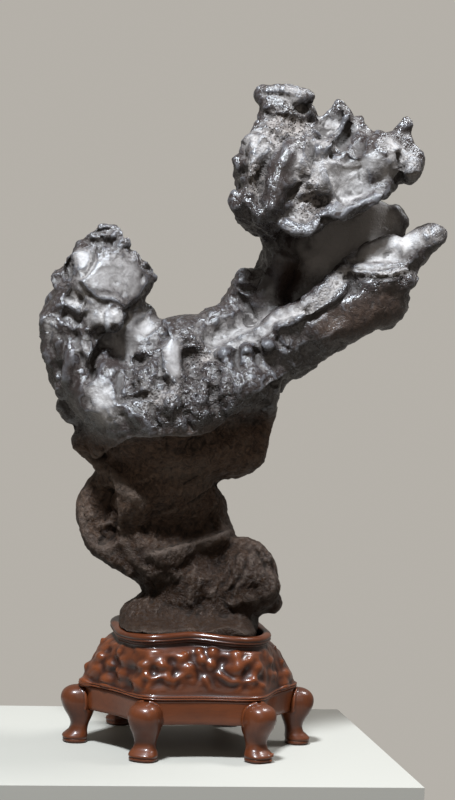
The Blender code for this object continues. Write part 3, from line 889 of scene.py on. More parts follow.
# %% Deep strokes from the front
HOLE_ROW = (
    (2.6, (186, 343)), (2.6, (190, 352)), (3, (186, 361)), (2.6, (195, 366)), (3, (199, 378)),
    (2.6, (190, 384)), (3, (197, 396)),
)
FRONT_FORMS = (
    # the left horn
    ("groove beside the horn", "sharp", 7, -12, (
        (141, 299), (127, 314), (114, 333), (104, 346), (95, 359), (85, 380))),
    ("edge over the groove", "step", 4, 5, (
        (84, 372), (93, 354), (100, 341), (107, 332), (118, 327), (126, 311), (142, 296))),
    ("valley", "round", 12, -2, ((140, 322), (128, 338), (118, 352))),
    ("floor of the valley", "round", 14, -3, ((112, 370), (103, 392), (106, 408))),
    ("plate", "scrape", 2, 3, (
        (78, 281), (90, 270), (97, 261), (118, 254), (132, 256), (146, 270), (150, 282), (140, 297),
        (128, 307), (113, 298), (98, 298), (89, 292))),
    ("rim of the plate", "sharp", 2.5, 1.1, (
        (78, 281), (89, 291), (98, 297), (112, 298), (124, 305), (138, 299), (148, 284))),
    ("undercut of the plate", "step", 5, 1.6, ((77, 280), (89, 292), (98, 299), (112, 301), (124, 308))),
    ("shadow under the plate", "sharp", 4, -1, ((76, 285), (88, 296), (97, 302), (108, 303))),
    ("notch between the spurs", "round", 4, -6, ((149, 268), (153, 271))),
    ("groove by the upper spur", "sharp", 3, -4, ((141, 254), (143, 264), (149, 270))),
    ("groove by the lower spur", "sharp", 3, -4, ((144, 274), (143, 284), (146, 292))),
    ("pit in the plate", "round", 3.4, -4, ((116, 280), (117, 284))),
    ("pimple on the plate", "round", 3, 3.5, ((124, 284),)),
    ("shade of the pimple", "round", 3, -3, ((126, 291), (122, 297))),
    ("ripple on the plate", "round", 4, 1.2, ((100, 268), (112, 266), (124, 268))),
    ("lower ripple", "round", 4, 1.2, ((96, 285), (104, 290), (112, 291))),
    ("bright facet", "scrape", 1.5, 2.5, (
        (72, 252), (82, 248), (89, 251), (91, 258), (86, 270), (78, 270))),
    ("flank under it", "scrape", 1.5, 0.5, (
        (62, 262), (71, 256), (76, 271), (84, 273), (78, 280), (66, 278))),
    ("facet of the crown", "scrape", 1.5, 1, (
        (95, 231), (104, 223), (112, 227), (110, 234), (101, 238))),
    ("dark hole in the crown", "round", 4, -4, ((106, 241), (113, 244))),
    ("second hole in the crown", "round", 3.5, -3.5, ((98, 246), (100, 250))),
    ("crease by the nub", "sharp", 3.5, -4, ((118, 231), (118, 240), (114, 250))),
    ("crease under the nub", "sharp", 3, -3, ((121, 248), (131, 248), (138, 252))),
    ("crease right of the facet", "sharp", 4, -4, ((92, 247), (93, 258), (88, 268), (82, 276))),
    ("round flat", "scrape", 1.5, 1.5, (
        (104, 312), (113, 307), (122, 308), (126, 314), (122, 322), (112, 328), (104, 324))),
    ("small round flat", "scrape", 1.5, 1.5, ((90, 314), (97, 311), (102, 314), (102, 324), (95, 326))),
    ("crease between the flats", "sharp", 2.5, -2.5, ((101, 310), (103, 318), (104, 328))),
    ("dark hollow", "round", 8, -7, ((60, 312), (69, 316), (79, 323))),
    ("edge over the hollow", "sharp", 3.5, 1.5, ((56, 306), (64, 305), (74, 311), (84, 315))),
    ("dip above the hollow", "round", 8, -4, ((66, 292), (74, 297), (82, 302))),
    ("fold down the flank", "sharp", 7, -9, ((66, 334), (60, 348), (56, 366), (55, 386))),
    ("lobe beside the fold", "round", 8, 4, ((76, 346), (70, 364), (66, 384))),
    ("fold beside the tongue", "sharp", 5, -6, ((74, 330), (75, 346), (82, 362), (84, 370))),
    ("crest of the tongue", "sharp", 3.5, 3.5, ((84, 322), (90, 336), (90, 350), (86, 362))),
    ("crease left of the tongue", "sharp", 3, -3, ((84, 300), (82, 312), (81, 326))),
    ("scratch on the flank", "sharp", 2.5, 1.5, ((50, 322), (52, 336), (49, 352))),
    # the middle
    ("left side of the block", "sharp", 4.5, -7, ((118, 370), (119, 386), (120, 402))),
    ("foot of the block", "sharp", 3, -4, ((120, 400), (136, 397), (152, 396), (162, 388), (173, 387))),
    ("facet of the block", "scrape", 1.5, 2, (
        (136, 377), (143, 374), (150, 381), (153, 392), (140, 393), (137, 386))),
    ("hole over the facet", "round", 3, -5, ((136, 363), (143, 360))),
    ("hole beside it", "round", 3, -4, ((128, 370), (131, 374))),
    ("hole by the boss", "round", 3.5, -5, ((149, 366), (153, 372))),
    ("crevice in the block", "sharp", 3.5, -6, ((157, 376), (164, 380), (171, 376))),
    ("nub of the boss", "round", 3.5, 3.5, ((167, 373),)),
    ("left edge of the upright boss", "step", 4, 5, ((166, 343), (162, 353), (163, 364), (166, 374))),
    ("face of the upright boss", "scrape", 2, 1.5, (
        (166, 346), (178, 344), (184, 360), (186, 380), (174, 384), (166, 368))),
    ("dark notch at the saddle", "round", 4.5, -9, ((163, 331), (165, 337))),
    ("pale valley by the notch", "round", 12, -4, ((140, 320), (152, 332))),
    ("pitted valley", "round", 10, -5, ((190, 348), (193, 370), (196, 392))),
    *(("one of a row of holes", "round", width, -4, (place,)) for width, place in HOLE_ROW),
    ("trough behind the crest", "round", 12, -6, ((205, 341), (232, 329), (258, 317))),
    ("crest of the saddle", "sharp", 4, 4, ((205, 355), (223, 344), (241, 337), (258, 330), (272, 322))),
    ("first boss", "round", 7, 5, ((225, 355),)),
    ("second boss", "round", 6, 4, ((247, 351),)),
    ("third boss", "round", 7, 5, ((267, 345),)),
    ("between the first bosses", "sharp", 4, -6, ((236, 344), (237, 356), (240, 368))),
    ("between the next bosses", "sharp", 4, -6, ((257, 339), (257, 352), (262, 364))),
    ("beside the nose", "sharp", 4, -5, ((275, 336), (281, 344), (290, 352))),
    ("face of the nose", "scrape", 1.5, 2, ((273, 329), (280, 325), (292, 324), (290, 331), (278, 333))),
    ("furrow under the bosses", "sharp", 6, -5, ((216, 368), (214, 390), (212, 414))),
    ("furrow left of it", "sharp", 5, -5, ((183, 394), (186, 412), (190, 428))),
    ("furrow under the block", "sharp", 5, -5, ((150, 400), (153, 414), (158, 428))),
    ("lump under the block", "round", 9, 4, ((132, 411),)),
    ("lump right of it", "round", 10, 4, ((168, 406),)),
    ("lump over the ledge", "round", 9, 3, ((201, 415),)),
    ("lump under the second boss", "round", 9, 3, ((238, 384),)),
    ("bright patch over the ledge", "scrape", 1.5, 1.5, (
        (148, 423), (158, 421), (160, 430), (150, 432))),
    ("crevice under the peg", "round", 4.5, -4, ((240, 288), (247, 290), (254, 287))),
    ("fold under the peg", "sharp", 3.5, -4, ((236, 292), (247, 305), (258, 319))),
    ("crest by the fold", "sharp", 3, 2.5, ((230, 300), (240, 310), (250, 322))),
    ("face of the peg", "scrape", 2, 1.5, ((238, 270), (246, 267), (254, 274), (252, 283), (240, 284))),
    # the ledge and the smooth side under it
    ("ledge", "step", 9, 8, (
        (76, 449), (100, 453), (108, 448), (131, 434), (160, 433), (189, 432), (209, 431),
        (222, 419), (240, 403), (254, 393), (272, 381), (290, 370))),
    ("seam on the ledge", "sharp", 2.4, 2, (
        (108, 447), (131, 433), (160, 432), (189, 431), (209, 430), (222, 418), (240, 402),
        (254, 392), (272, 380))),
    ("hollow under the ledge", "round", 13, -6, ((160, 446), (180, 445), (205, 444), (228, 428))),
    ("hollow under the right side", "round", 12, -5, ((238, 424), (250, 408), (264, 396))),
    # the arm
    ("under the crest", "step", 7, 5, (
        (290, 326), (306, 318), (322, 310), (336, 302), (346, 292), (351, 280))),
    ("cut at the knuckle", "sharp", 6, -6, ((347, 273), (352, 283), (358, 294))),
    ("first long ridge", "sharp", 3, 2, ((353, 271), (376, 273), (394, 273), (411, 269))),
    ("groove over it", "sharp", 3, -2.5, ((351, 269), (368, 267), (386, 266), (404, 264))),
    ("groove under it", "sharp", 3, -2.5, ((356, 277), (376, 278), (396, 276), (411, 273))),
    ("shell dimple", "round", 8, -3, ((388, 250), (391, 256))),
    ("waist of the tip", "round", 8, -1.5, ((404, 238), (408, 250), (402, 262))),
    ("streak on the belly", "sharp", 3, 3, ((321, 338), (330, 334), (337, 328), (343, 327))),
    ("hollow on the belly", "round", 10, -4, ((328, 322), (346, 312))),
    # the right horn
    ("front of the cap", "scrape", 1.5, 1.5, ((264, 98), (269, 95), (293, 101), (293, 105), (277, 115))),
    ("groove over the front of the cap", "sharp", 3, -3.5, (
        (262, 94), (274, 92), (288, 97), (299, 105))),
    ("left top of the cap", "scrape", 1.5, 1, ((262, 90), (270, 85), (285, 87), (283, 93), (266, 94))),
    ("right top of the cap", "scrape", 1.5, 1, (
        (294, 90), (308, 90), (315, 100), (308, 104), (296, 97))),
    ("under the cap's right", "round", 7, -8, ((296, 108), (306, 108), (316, 104))),
    ("crease on the neck", "sharp", 3, -2, ((264, 112), (274, 117), (292, 114))),
    ("behind the polished boss", "sharp", 5, -9, (
        (310, 136), (309, 150), (306, 166), (299, 186), (287, 202))),
    ("before the polished boss", "sharp", 4.5, -8, (
        (279, 141), (266, 158), (259, 178), (258, 198), (262, 212))),
    ("top of the boss", "sharp", 3.5, -4, ((281, 141), (290, 136), (302, 137))),
    ("first fold", "sharp", 3, 3, ((253, 160), (250, 178), (249, 198))),
    ("second fold", "sharp", 3, 2.5, ((258, 162), (255, 180), (254, 198))),
    ("crease in the outer folds", "sharp", 3, -3, ((250, 156), (246, 172), (244, 190))),
    ("under the knob", "sharp", 5, -4, ((229, 174), (236, 176), (244, 171))),
    ("over the knob", "sharp", 4, -2, ((232, 156), (238, 154), (246, 158))),
    ("under the lobe", "round", 6, -4, ((233, 185), (240, 186))),
    ("recess by the finger", "round", 9, -10, ((316, 136), (324, 128), (334, 117), (338, 108))),
    ("fin of the finger", "sharp", 3.5, 4, ((350, 108), (347, 120), (340, 134), (330, 147))),
    ("shade right of the finger", "round", 7, -8, ((355, 118), (348, 132), (340, 144), (334, 152))),
    ("floor under the recess", "sharp", 4, -7, ((307, 149), (317, 152), (326, 151), (334, 147))),
    ("dish behind the lip", "round", 30, -9.5, ((330, 178), (350, 172), (368, 168))),
    ("bright hollow", "round", 15, -5, ((352, 178), (361, 168), (370, 160))),
    ("dark crease over the hollow", "round", 6, -6, ((344, 166), (350, 157), (358, 149), (357, 142))),
    ("smooth face by the spike", "scrape", 2, 1, (
        (374, 148), (378, 138), (391, 132), (395, 148), (386, 154))),
    ("ripple by the spike", "sharp", 2.5, 1.5, ((368, 152), (378, 158), (390, 160), (398, 154))),
    ("brown hollow", "round", 16, -5, ((316, 152), (312, 168), (309, 182))),
    ("lip", "round", 9, 4, ((324, 208), (341, 212), (360, 206), (378, 196), (392, 188))),
    ("ripple on the lip", "sharp", 3, 2, ((334, 200), (350, 197), (366, 192))),
    ("second ripple on the lip", "sharp", 3, 2, ((350, 208), (364, 203), (378, 195))),
    ("lip of the brown hollow", "round", 7, 3, ((282, 222), (293, 229), (310, 228), (322, 220))),
    ("recess under the lip", "round", 20, -5, (
        (316, 244), (340, 238), (362, 230), (384, 218), (398, 208))),
    ("end of the tip", "round", 9, 3, ((410, 158), (413, 174))),
    ("under the hollow's lip", "round", 12, -7, ((276, 240), (296, 248), (316, 242))),
    ("edge of the lip", "step", 5, 6, (
        (282, 229), (296, 235), (311, 233), (322, 218), (341, 219), (360, 213), (377, 202),
        (388, 196))),
    ("behind the tip", "sharp", 4, -5, ((399, 150), (402, 164), (403, 178))),
    ("under the tip", "round", 8, -4, ((396, 178), (402, 186))),
    # the lower body
    ("pocket on the left", "round", 13, -14, ((103, 484), (101, 504), (105, 524))),
    ("right edge of the pocket", "step", 10, 4, ((110, 470), (118, 490), (119, 512), (116, 536))),
    ("corner of the pocket", "round", 8, -5, ((116, 528), (108, 539), (98, 538))),
    ("left band", "round", 10, 2, ((86, 457), (106, 471), (126, 489), (142, 503))),
    ("hollow right of the band", "round", 16, -4, ((146, 478), (156, 498), (166, 514))),
    ("swelling in the middle", "round", 18, 4, ((190, 480), (200, 495))),
    ("band over the swirl", "round", 15, -6, ((142, 522), (168, 530), (196, 523), (222, 518))),
    ("edge of the swirl", "step", 11, 2.5, ((228, 530), (208, 537), (182, 545), (150, 553))),
    ("pale line down the side", "round", 7, 1.2, (
        (118, 520), (122, 534), (133, 559), (146, 571), (166, 578), (180, 575))),
    ("crease beside the pale line", "round", 7, -1.2, (
        (124, 528), (130, 546), (140, 560), (156, 569), (172, 570))),
    ("groove down to the foot", "round", 9, -3.5, ((224, 540), (219, 568), (208, 590), (198, 612))),
    ("second groove", "sharp", 4, -2.5, ((236, 552), (228, 574), (216, 596))),
    ("third groove", "sharp", 4, -2.5, ((248, 556), (240, 576), (228, 594))),
    ("streak on the right", "sharp", 3.5, -2, ((254, 548), (266, 566), (270, 590))),
    ("second streak on the right", "sharp", 3.5, -2, ((264, 552), (274, 568), (278, 590))),
    ("crease over the lower lip", "round", 8, -1.5, ((200, 608), (222, 599), (246, 591), (270, 585))),
    ("lower lip of the knee", "round", 9, 1.5, ((206, 613), (236, 602), (262, 596), (281, 592))),
    ("waist over the foot", "round", 14, -4, ((148, 592), (170, 590), (190, 592))),
    ("front of the foot", "round", 14, -2.5, ((130, 614), (160, 616), (200, 618), (240, 618))),
)

work(skin, from_front, FRONT_FORMS)

# %% Deep strokes from the other sides, by x and z, by y and z, or by x and y in mm
BACK_FORMS = (
    ("fold behind the right horn", "sharp", 8, -9, ((70, 505), (78, 480), (92, 455), (100, 430))),
    ("hollow behind the right horn", "round", 17, -9, ((130, 480), (138, 462), (132, 445))),
    ("ridge behind the right horn", "round", 9, 5, ((110, 500), (118, 478), (122, 455), (116, 430))),
    ("groove behind the neck", "sharp", 9, -9, ((88, 405), (76, 385), (60, 365))),
    ("hollow behind the arm", "round", 15, -8, ((130, 385), (112, 365))),
    ("ridge behind the arm", "sharp", 7, 5, ((168, 395), (142, 378), (112, 352), (88, 335))),
    ("fold behind the left horn", "sharp", 8, -9, ((-42, 385), (-52, 360), (-58, 330), (-50, 305))),
    ("hollow behind the left horn", "round", 13, -8, ((-72, 360), (-70, 340))),
    ("ledge behind the body", "step", 10, 6, ((66, 290), (40, 281), (10, 278), (-25, 283), (-56, 292))),
    ("furrow down the back", "round", 15, -9, ((45, 265), (25, 235), (10, 205), (20, 175))),
    ("ridge down the back", "round", 11, 5, ((20, 262), (0, 235), (-12, 205), (0, 170))),
    ("fold over the heel", "sharp", 9, -7, ((45, 152), (20, 142), (-10, 144))),
)
LEFT_FORMS = (
    ("fold on the outer flank", "sharp", 8, -8, ((-20, 370), (-5, 345), (-8, 315))),
    ("hollow on the outer flank", "round", 13, -6, ((15, 345), (20, 325))),
    ("fold under the outer flank", "sharp", 8, -6, ((-30, 265), (-5, 255), (20, 262))),
)
RIGHT_FORMS = (
    ("hollow in the end of the right horn", "round", 10, -5, ((10, 470), (12, 455))),
    ("fold on the right side", "sharp", 8, -8, ((22, 330), (5, 300), (10, 270))),
    ("ridge on the right side", "round", 9, 4, ((-12, 310), (-8, 285))),
)
TOP_FORMS = (
    ("groove over the right horn", "sharp", 7, -6, ((95, 22), (115, 14), (140, 20))),
    ("furrow in the saddle", "round", 10, -4, ((-20, 22), (10, 14), (35, 24))),
    ("groove over the left horn", "sharp", 6, -5, ((-78, 8), (-62, 14), (-46, 10))),
)
work(skin, from_behind, BACK_FORMS)
work(skin, from_left, LEFT_FORMS)
work(skin, from_right, RIGHT_FORMS)
work(skin, from_above, TOP_FORMS)

# %% What is rubbed is soft
strokes_done = skin_points(skin)
softened = relax(skin, strokes_done, 14)
move_skin(skin, strokes_done + (softened - strokes_done) * layers["smooth"][:, None])

# %% [markdown]
# ## Lumps, wrinkles and pits
# The small relief comes from noise, so that it reaches every side alike. How strong it is goes by
# the paint.

# %% Small facets
chip(skin, 1500, 5.0, 0.6, rough_share * (0.1 + layers["wrinkles"] ** 2), 12)
here = skin_points(skin)

# %% Noise on the skin
def noise_at(points, size, kind):
    """One noise value for every point, with features about the given size in mm."""
    scaled = points / size
    return np.array([kind(Vector(spot)) for spot in scaled])


def pits_at(spot):
    """Deep in the middle of each cell and nought towards its walls."""
    near = noise.voronoi(spot)[0][0]
    return max(0.0, 1 - near * 1.9) ** 1.5


def ridges_at(spot):
    return noise.ridged_multi_fractal(spot, 0.9, 2.1, 4, 1.0, 2.0) - 1.1


def lumps_at(spot):
    return noise.fractal(spot, 1.0, 2.0, 3)


def cobbles_at(spot):
    """Round lumps with a sharp crease where two meet."""
    near, next_near = noise.voronoi(spot)[0][:2]
    return min(1.0, (next_near - near) * 1.8) - 0.6


FLOW = np.array(((1, 0, -0.6), (0, 1, 0), (0.2, 0, 0.3)))  # draws the ridges out along the slope
HELD_BELOW = 100  # the skin in the seat stays where it is

wrinkles = layers["wrinkles"]
rugged = wrinkles * (1 - layers["smooth"]) * (1 - under)
bent = here + noise_at(here, 15, lumps_at)[:, None] * 4
# Each row is one kind of relief: where it is sought, its size, how far it lifts the skin in mm at
# the most, and how strong it is at each point.
RELIEF = (
    (here, 26, lumps_at, 1.2, 1.0),
    (here, 10, lumps_at, 0.7, under),
    (here @ FLOW.T, 5, ridges_at, 0.5, under),
    (here, 6, lumps_at, 0.55, (0.2 + wrinkles) * (1 - 0.7 * layers["smooth"])),
    (bent, 14, cobbles_at, 2.6, rugged),
    (bent + 70, 6, cobbles_at, 0.45, rugged),
    (here + 40, 8, ridges_at, 0.35, wrinkles),
    (here, 5.5, pits_at, -2.0, layers["pits"]),
)
swell = sum(noise_at(spots, size, kind) * lift * share for spots, size, kind, lift, share in RELIEF)
swell *= np.clip((here[:, 2] - HELD_BELOW) / 12, 0, 1)
move_skin(skin, here + skin_normals(skin) * swell[:, None])

# %% [markdown]
# ## The limestone's finish
# Handling has rubbed the high places to a dark gloss, pale dust sits in the hollows, and the side
# under the ledge is dull brown. Light and shade are painted over that: the dust layer pales lit faces
# and leaves shaded ones dark, cracks and pits are painted near black as shade, the fine crests get a
# bluish painted highlight, and the brown side is painted darker towards the foot as shade. The paint
# layers and how hollow the skin is at each point are kept with the mesh, and the finish reads them.

# %% How hollow the skin is
def hollowness(mesh, times):
    """Above nought in a hollow and below nought on a crest."""
    points = skin_points(mesh)
    return ((relax(mesh, points, times) - points) * skin_normals(mesh)).sum(axis=1)


def keep_layer(mesh, name, values):
    made = mesh.attributes.new(name, "FLOAT", "POINT")
    made.data.foreach_set("value", np.asarray(values, dtype=np.float32))


# Painted shade: the side under the ledge is darker from this height down towards the foot.
FOOT_SHADE_TOP = 215
FOOT_SHADE_FADE = 60
near_hollow = hollowness(skin, 4) * 2.6
wide_hollow = hollowness(skin, 45) * 0.3
layers["foot"] = np.clip((FOOT_SHADE_TOP - here[:, 2]) / FOOT_SHADE_FADE, 0, 1)
layers["crack"] = np.clip(near_hollow, -1, 1)
layers["cavity"] = np.clip(near_hollow + wide_hollow, -1, 1)
for name, values in layers.items():
    keep_layer(skin, name, values)

# %% Fewer faces, where the skin is even
MOST_TRIANGLES = 196000
skin = modified(skin, "DECIMATE", ratio=MOST_TRIANGLES / (2 * len(skin.polygons)))

# %% The stone in its place
skin.transform(rock_place)
skin.shade_smooth()
skin.name = "limestone_rock"
stone = placed("limestone_rock", skin)
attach(stone, "root")
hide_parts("stone")
print("rock:", sum(len(face.vertices) - 2 for face in skin.polygons), "triangles")

# %% Limestone
PITS_PER_METRE = 470
RELIEF_DEPTH = 1.4 * MM


def limestone():
    finish = Finish("dark limestone")
    cavity = finish.attribute("cavity")
    wrinkles = finish.attribute("wrinkles")
    pits = finish.attribute("pits")
    brown = finish.attribute("brown")
    smooth = finish.attribute("smooth")
    coarse = finish.noise(0.018, 4)
    grain = finish.noise(0.0042, 5, 0.65)
    fine = finish.noise(0.0016, 3)
    streak = finish.noise(0.006, 5, 0.7, 1.6)
    cells = {"Vector": finish.place, "Scale": PITS_PER_METRE}
    holes = finish.node("ShaderNodeTexVoronoi", None, cells, "Distance")
    specks = ((0.42 - holes) * 3.0).held() * (pits * 1.5 - 0.35).held()
    patches = (coarse - 0.5) * 0.5 + (grain - 0.5) * 0.5
    # Dust and painted light together: the dust layer, the hollows and noisy patches make it pale.
    dust_and_painted_light = (finish.attribute("dust_and_painted_light") * 1.3 - 0.22 + cavity * 0.4 + patches).held()
    crack = finish.attribute("crack")
    # Painted shade: cracks and the specks of the pits are painted near black.
    painted_crevice_shade = (crack * 1.5 - 0.4 + specks * 1.1).held()
    # Painted highlight: fine crests away from the pits are painted a pale bluish grey.
    painted_crest_highlight = (0.0 - crack * 1.5 - 0.3 + (fine - 0.5) * 0.4).held() * (1 - pits * 0.8)
    dark = finish.between(fine, rgb(0.011, 0.0074, 0.0066), rgb(0.03, 0.0225, 0.0208))
    # The pale tone of dust and painted light, browner where pitted.
    pale_dust_and_light = finish.between(pits.held(), rgb(0.26, 0.243, 0.233), rgb(0.215, 0.184, 0.165))
    upper = finish.between(dust_and_painted_light ** 1.4, dark, pale_dust_and_light)
    upper = finish.between(painted_crest_highlight * 0.25, upper, rgb(0.25, 0.26, 0.285))
    upper = finish.between(painted_crevice_shade * 0.85, upper, rgb(0.011, 0.0065, 0.0045))
    foot = finish.attribute("foot")
    # Painted shade: the brown side is darker towards the foot.
    side = finish.between(foot, rgb(0.15, 0.092, 0.062), rgb(0.022, 0.008, 0.001))
    lower = finish.between((streak * 1.8 - 0.6).held(), rgb(0.016, 0.0098, 0.0072), side)
    lower = finish.between((dust_and_painted_light * 1.2 - 0.3).held() * (0.5 - foot * 0.3), lower, rgb(0.15, 0.12, 0.1))
    lower = finish.between((0.0 - crack * 1.3 - 0.15).held() * 0.3, lower, rgb(0.13, 0.1, 0.082))
    lower = finish.between(painted_crevice_shade * 0.7, lower, rgb(0.004, 0.0025, 0.0015))
    relief = grain * (wrinkles + 0.3) + fine * 0.2 - specks * 0.9 + streak * brown * 1.8
    skin_relief = finish.bump(relief, RELIEF_DEPTH)
    finish.shade(
        Base_Color=upper,
        Roughness=(dust_and_painted_light * 0.42 + painted_crevice_shade * 0.3 + fine * 0.06 - smooth * 0.04 + 0.19).held(),
        IOR=1.5,
        Normal=skin_relief,
    )
    return finish.shade_over(
        brown.held(),
        Base_Color=lower,
        Roughness=(dust_and_painted_light * 0.2 + painted_crevice_shade * 0.2 + 0.45).held(),
        IOR=1.22,
        Normal=skin_relief,
    )


skin.materials.append(limestone())

# %% [markdown]
# ## The stand
# The stand is one carved block on a plain apron with six legs. Seen from above it is a rounded
# hexagon with hollow sides, a little wider than deep, and its rim follows the rock's foot in five
# soft lobes. The same two outlines as on the CAD model are worked out here, and every part of the
# stand is a ring of edges raised from one outline to the next.

# %% Outlines
GAP = 0.35 * MM
SIDES = 6
HEXAGON_RADIUS = 87 * MM
HEXAGON_STRETCH = 1.05
HEXAGON_ROUNDING = 16
HEXAGON_BOW = 0.04
RIM_LOBES = (
    (184, 63), (211, 70), (235, 76), (263, 59), (298, 72), (327, 68),
    (354, 59), (26, 60), (52, 62), (84, 52), (124, 64), (152, 66),
)
RIM_TOP = 97 * MM
RIM_WAVE = 2.2 * MM
RIM_WAVE_FRONT = math.radians(262)
RIM_WALL = 6 * MM
SEAT_FLOOR = 86 * MM
APRON_BOTTOM = 27.5 * MM
APRON_TOP = 47 * MM
APRON_WALL = 8 * MM
APRON_BATTER = 1.5 * MM


def hexagon(bearing, radius=HEXAGON_RADIUS):
    """Radius of the rounded, hollow-sided, slightly wide hexagon at a bearing."""
    even = math.atan2(math.sin(bearing), math.cos(bearing) / HEXAGON_STRETCH)
    total = 0.0
    for side in range(SIDES):
        outwards = math.cos(even - (side + 0.5) * 2 * math.pi / SIDES)
        total += max(0.0, outwards) ** HEXAGON_ROUNDING
    rounded = radius * math.cos(math.pi / SIDES) / total ** (1 / HEXAGON_ROUNDING)
    reach = rounded - radius * HEXAGON_BOW * math.sin(even * SIDES / 2) ** 2
    return reach * math.hypot(HEXAGON_STRETCH * math.cos(even), math.sin(even))


def rim(bearing):
    """Radius of the seat's rim at a bearing, on a smooth closed curve through its lobes."""
    count = len(RIM_LOBES)
    degrees = math.degrees(bearing) % 360
    for index, (start, _) in enumerate(RIM_LOBES):
        span = (RIM_LOBES[(index + 1) % count][0] - start) % 360
        along = (degrees - start) % 360
        if along <= span:
            near = [RIM_LOBES[(index + step) % count][1] * MM for step in (-1, 0, 1, 2)]
            return catmull(*near, along / span)


def rim_rise(bearing):
    """How far the rim lifts above its mean height at a bearing."""
    turn = bearing - RIM_WAVE_FRONT
    return RIM_WAVE * math.cos(3 * turn) * math.exp(-abs(math.sin(turn / 2)))


# %% Rings raised one from another
def raise_rings(segments, rows):
    """A skin over rows, each a rule that gives a place for every angle."""
    shape = bmesh.new()
    turn = shape.verts.layers.float.new("turn")
    ring = bmesh.ops.create_circle(shape, segments=segments, radius=1)["verts"]
    for point in ring:
        point[turn] = math.atan2(point.co.y, point.co.x)
    edges = list(shape.edges)
    for number, row in enumerate(rows):
        if number:
            made = bmesh.ops.extrude_edge_only(shape, edges=edges)["geom"]
            edges = [item for item in made if isinstance(item, bmesh.types.BMEdge)]
            ring = [item for item in made if isinstance(item, bmesh.types.BMVert)]
        for point in ring:
            point.co = row(point[turn])
    return shape


def stand_place(bearing, radius, height):
    return STAND_CENTRE + Vector((radius * math.cos(bearing), radius * math.sin(bearing), height))


def mesh_from(shape, name):
    bmesh.ops.recalc_face_normals(shape, faces=shape.faces)
    made = bpy.data.meshes.new(name)
    shape.to_mesh(made)
    shape.free()
    made.shade_smooth()
    return made


def stand_piece(mesh, node):
    """A finished piece of the stand, riding on the one body in place of its CAD node."""
    piece = placed(mesh.name, mesh)
    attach(piece, "root")
    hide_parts(node)


# %% [markdown]
# ## The carved block
# From the apron up the section has two fine beads, a smooth flare, a shoulder that was carved into
# rockwork, two thin fillets and the round rim of the seat. The knobs of the rockwork are pressed
# out of the smooth shoulder with the same tools as the stone's.

# %% Section of the block
BLOCK_SEGMENTS = 360
# Height in mm, share of the way from the hexagon to the rim, and how far the skin stands off, in mm.
BLOCK_SECTION = (
    (47.35, 0.0, -1.2), (47.5, 0.0, -0.1), (47.9, 0.0, 0.45), (48.5, 0.0, 0.5), (48.9, 0.0, 0.1),
    (49.1, 0.0, -0.4), (49.3, 0.0, 0.0), (49.7, 0.0, 0.5), (50.3, 0.0, 0.5), (50.7, 0.01, 0.0),
    (51.0, 0.02, -0.5), (52.0, 0.04, -0.6), (53.2, 0.07, -0.4),
)
FLARE = (
    (53.2, 0.07), (56, 0.10), (61, 0.18), (66, 0.26), (71, 0.34), (76, 0.44), (81, 0.58), (84, 0.72),
    (86, 0.93),
)
FLARE_STEPS = 5
FLARE_OFF = -0.4
# Above the shoulder: how far off the rim's line, and how far below the rim's top, in mm.
RIM_SECTION = (
    (-1.8, -9.2), (-1.0, -8.4), (-0.2, -7.9), (0.0, -7.3), (-0.6, -6.8), (-0.1, -6.5), (1.0, -6.0),
    (1.4, -5.4), (1.0, -4.9), (0.6, -4.5), (1.3, -3.7), (1.5, -2.7), (1.0, -1.5), (-0.2, -0.6),
    (-1.9, -0.1), (-3.6, -0.2), (-5.1, -0.8), (-5.9, -1.9), (-6.0, -4.0), (-6.0, -8.0),
)


def underside_row(radius):
    return lambda bearing: stand_place(bearing, radius * MM, APRON_TOP + GAP)


def block_row(height, share, off):
    """A row on the way from the hexagon to the rim."""
    def row(bearing):
        outer = hexagon(bearing, HEXAGON_RADIUS + MM) * (1 - share)
        inner = (rim(bearing) - 2 * MM) * share
        return stand_place(bearing, outer + inner + off * MM, height * MM + rim_rise(bearing) * share)
    return row


def flare_row(height):
    """A row of the smooth shoulder."""
    heights, shares = zip(*FLARE)
    return block_row(height, np.interp(height, heights, shares), FLARE_OFF)


def rim_row(off, below):
    return lambda bearing: stand_place(
        bearing, rim(bearing) + off * MM, RIM_TOP + below * MM + rim_rise(bearing))


def seat_row(part):
    return lambda bearing: stand_place(bearing, (rim(bearing) - RIM_WALL) * part, SEAT_FLOOR)


block_rows = [underside_row(radius) for radius in (2, 30, 60)]
block_rows += [block_row(*station) for station in BLOCK_SECTION]
for (low, _), (high, _) in zip(FLARE, FLARE[1:]):
    block_rows += [flare_row(height) for height in np.linspace(low, high, FLARE_STEPS + 1)[1:]]
block_rows += [rim_row(*station) for station in RIM_SECTION]
block_rows += [seat_row(part) for part in (1, 0.6, 0.05)]

block_shape = raise_rings(BLOCK_SEGMENTS, block_rows)
bmesh.ops.holes_fill(block_shape, edges=block_shape.edges, sides=0)
block = mesh_from(block_shape, "carved_block")
print("carved block:", len(block.vertices), "points")

# %% Rockwork on the shoulder
KNOB_SPREAD = 1.3
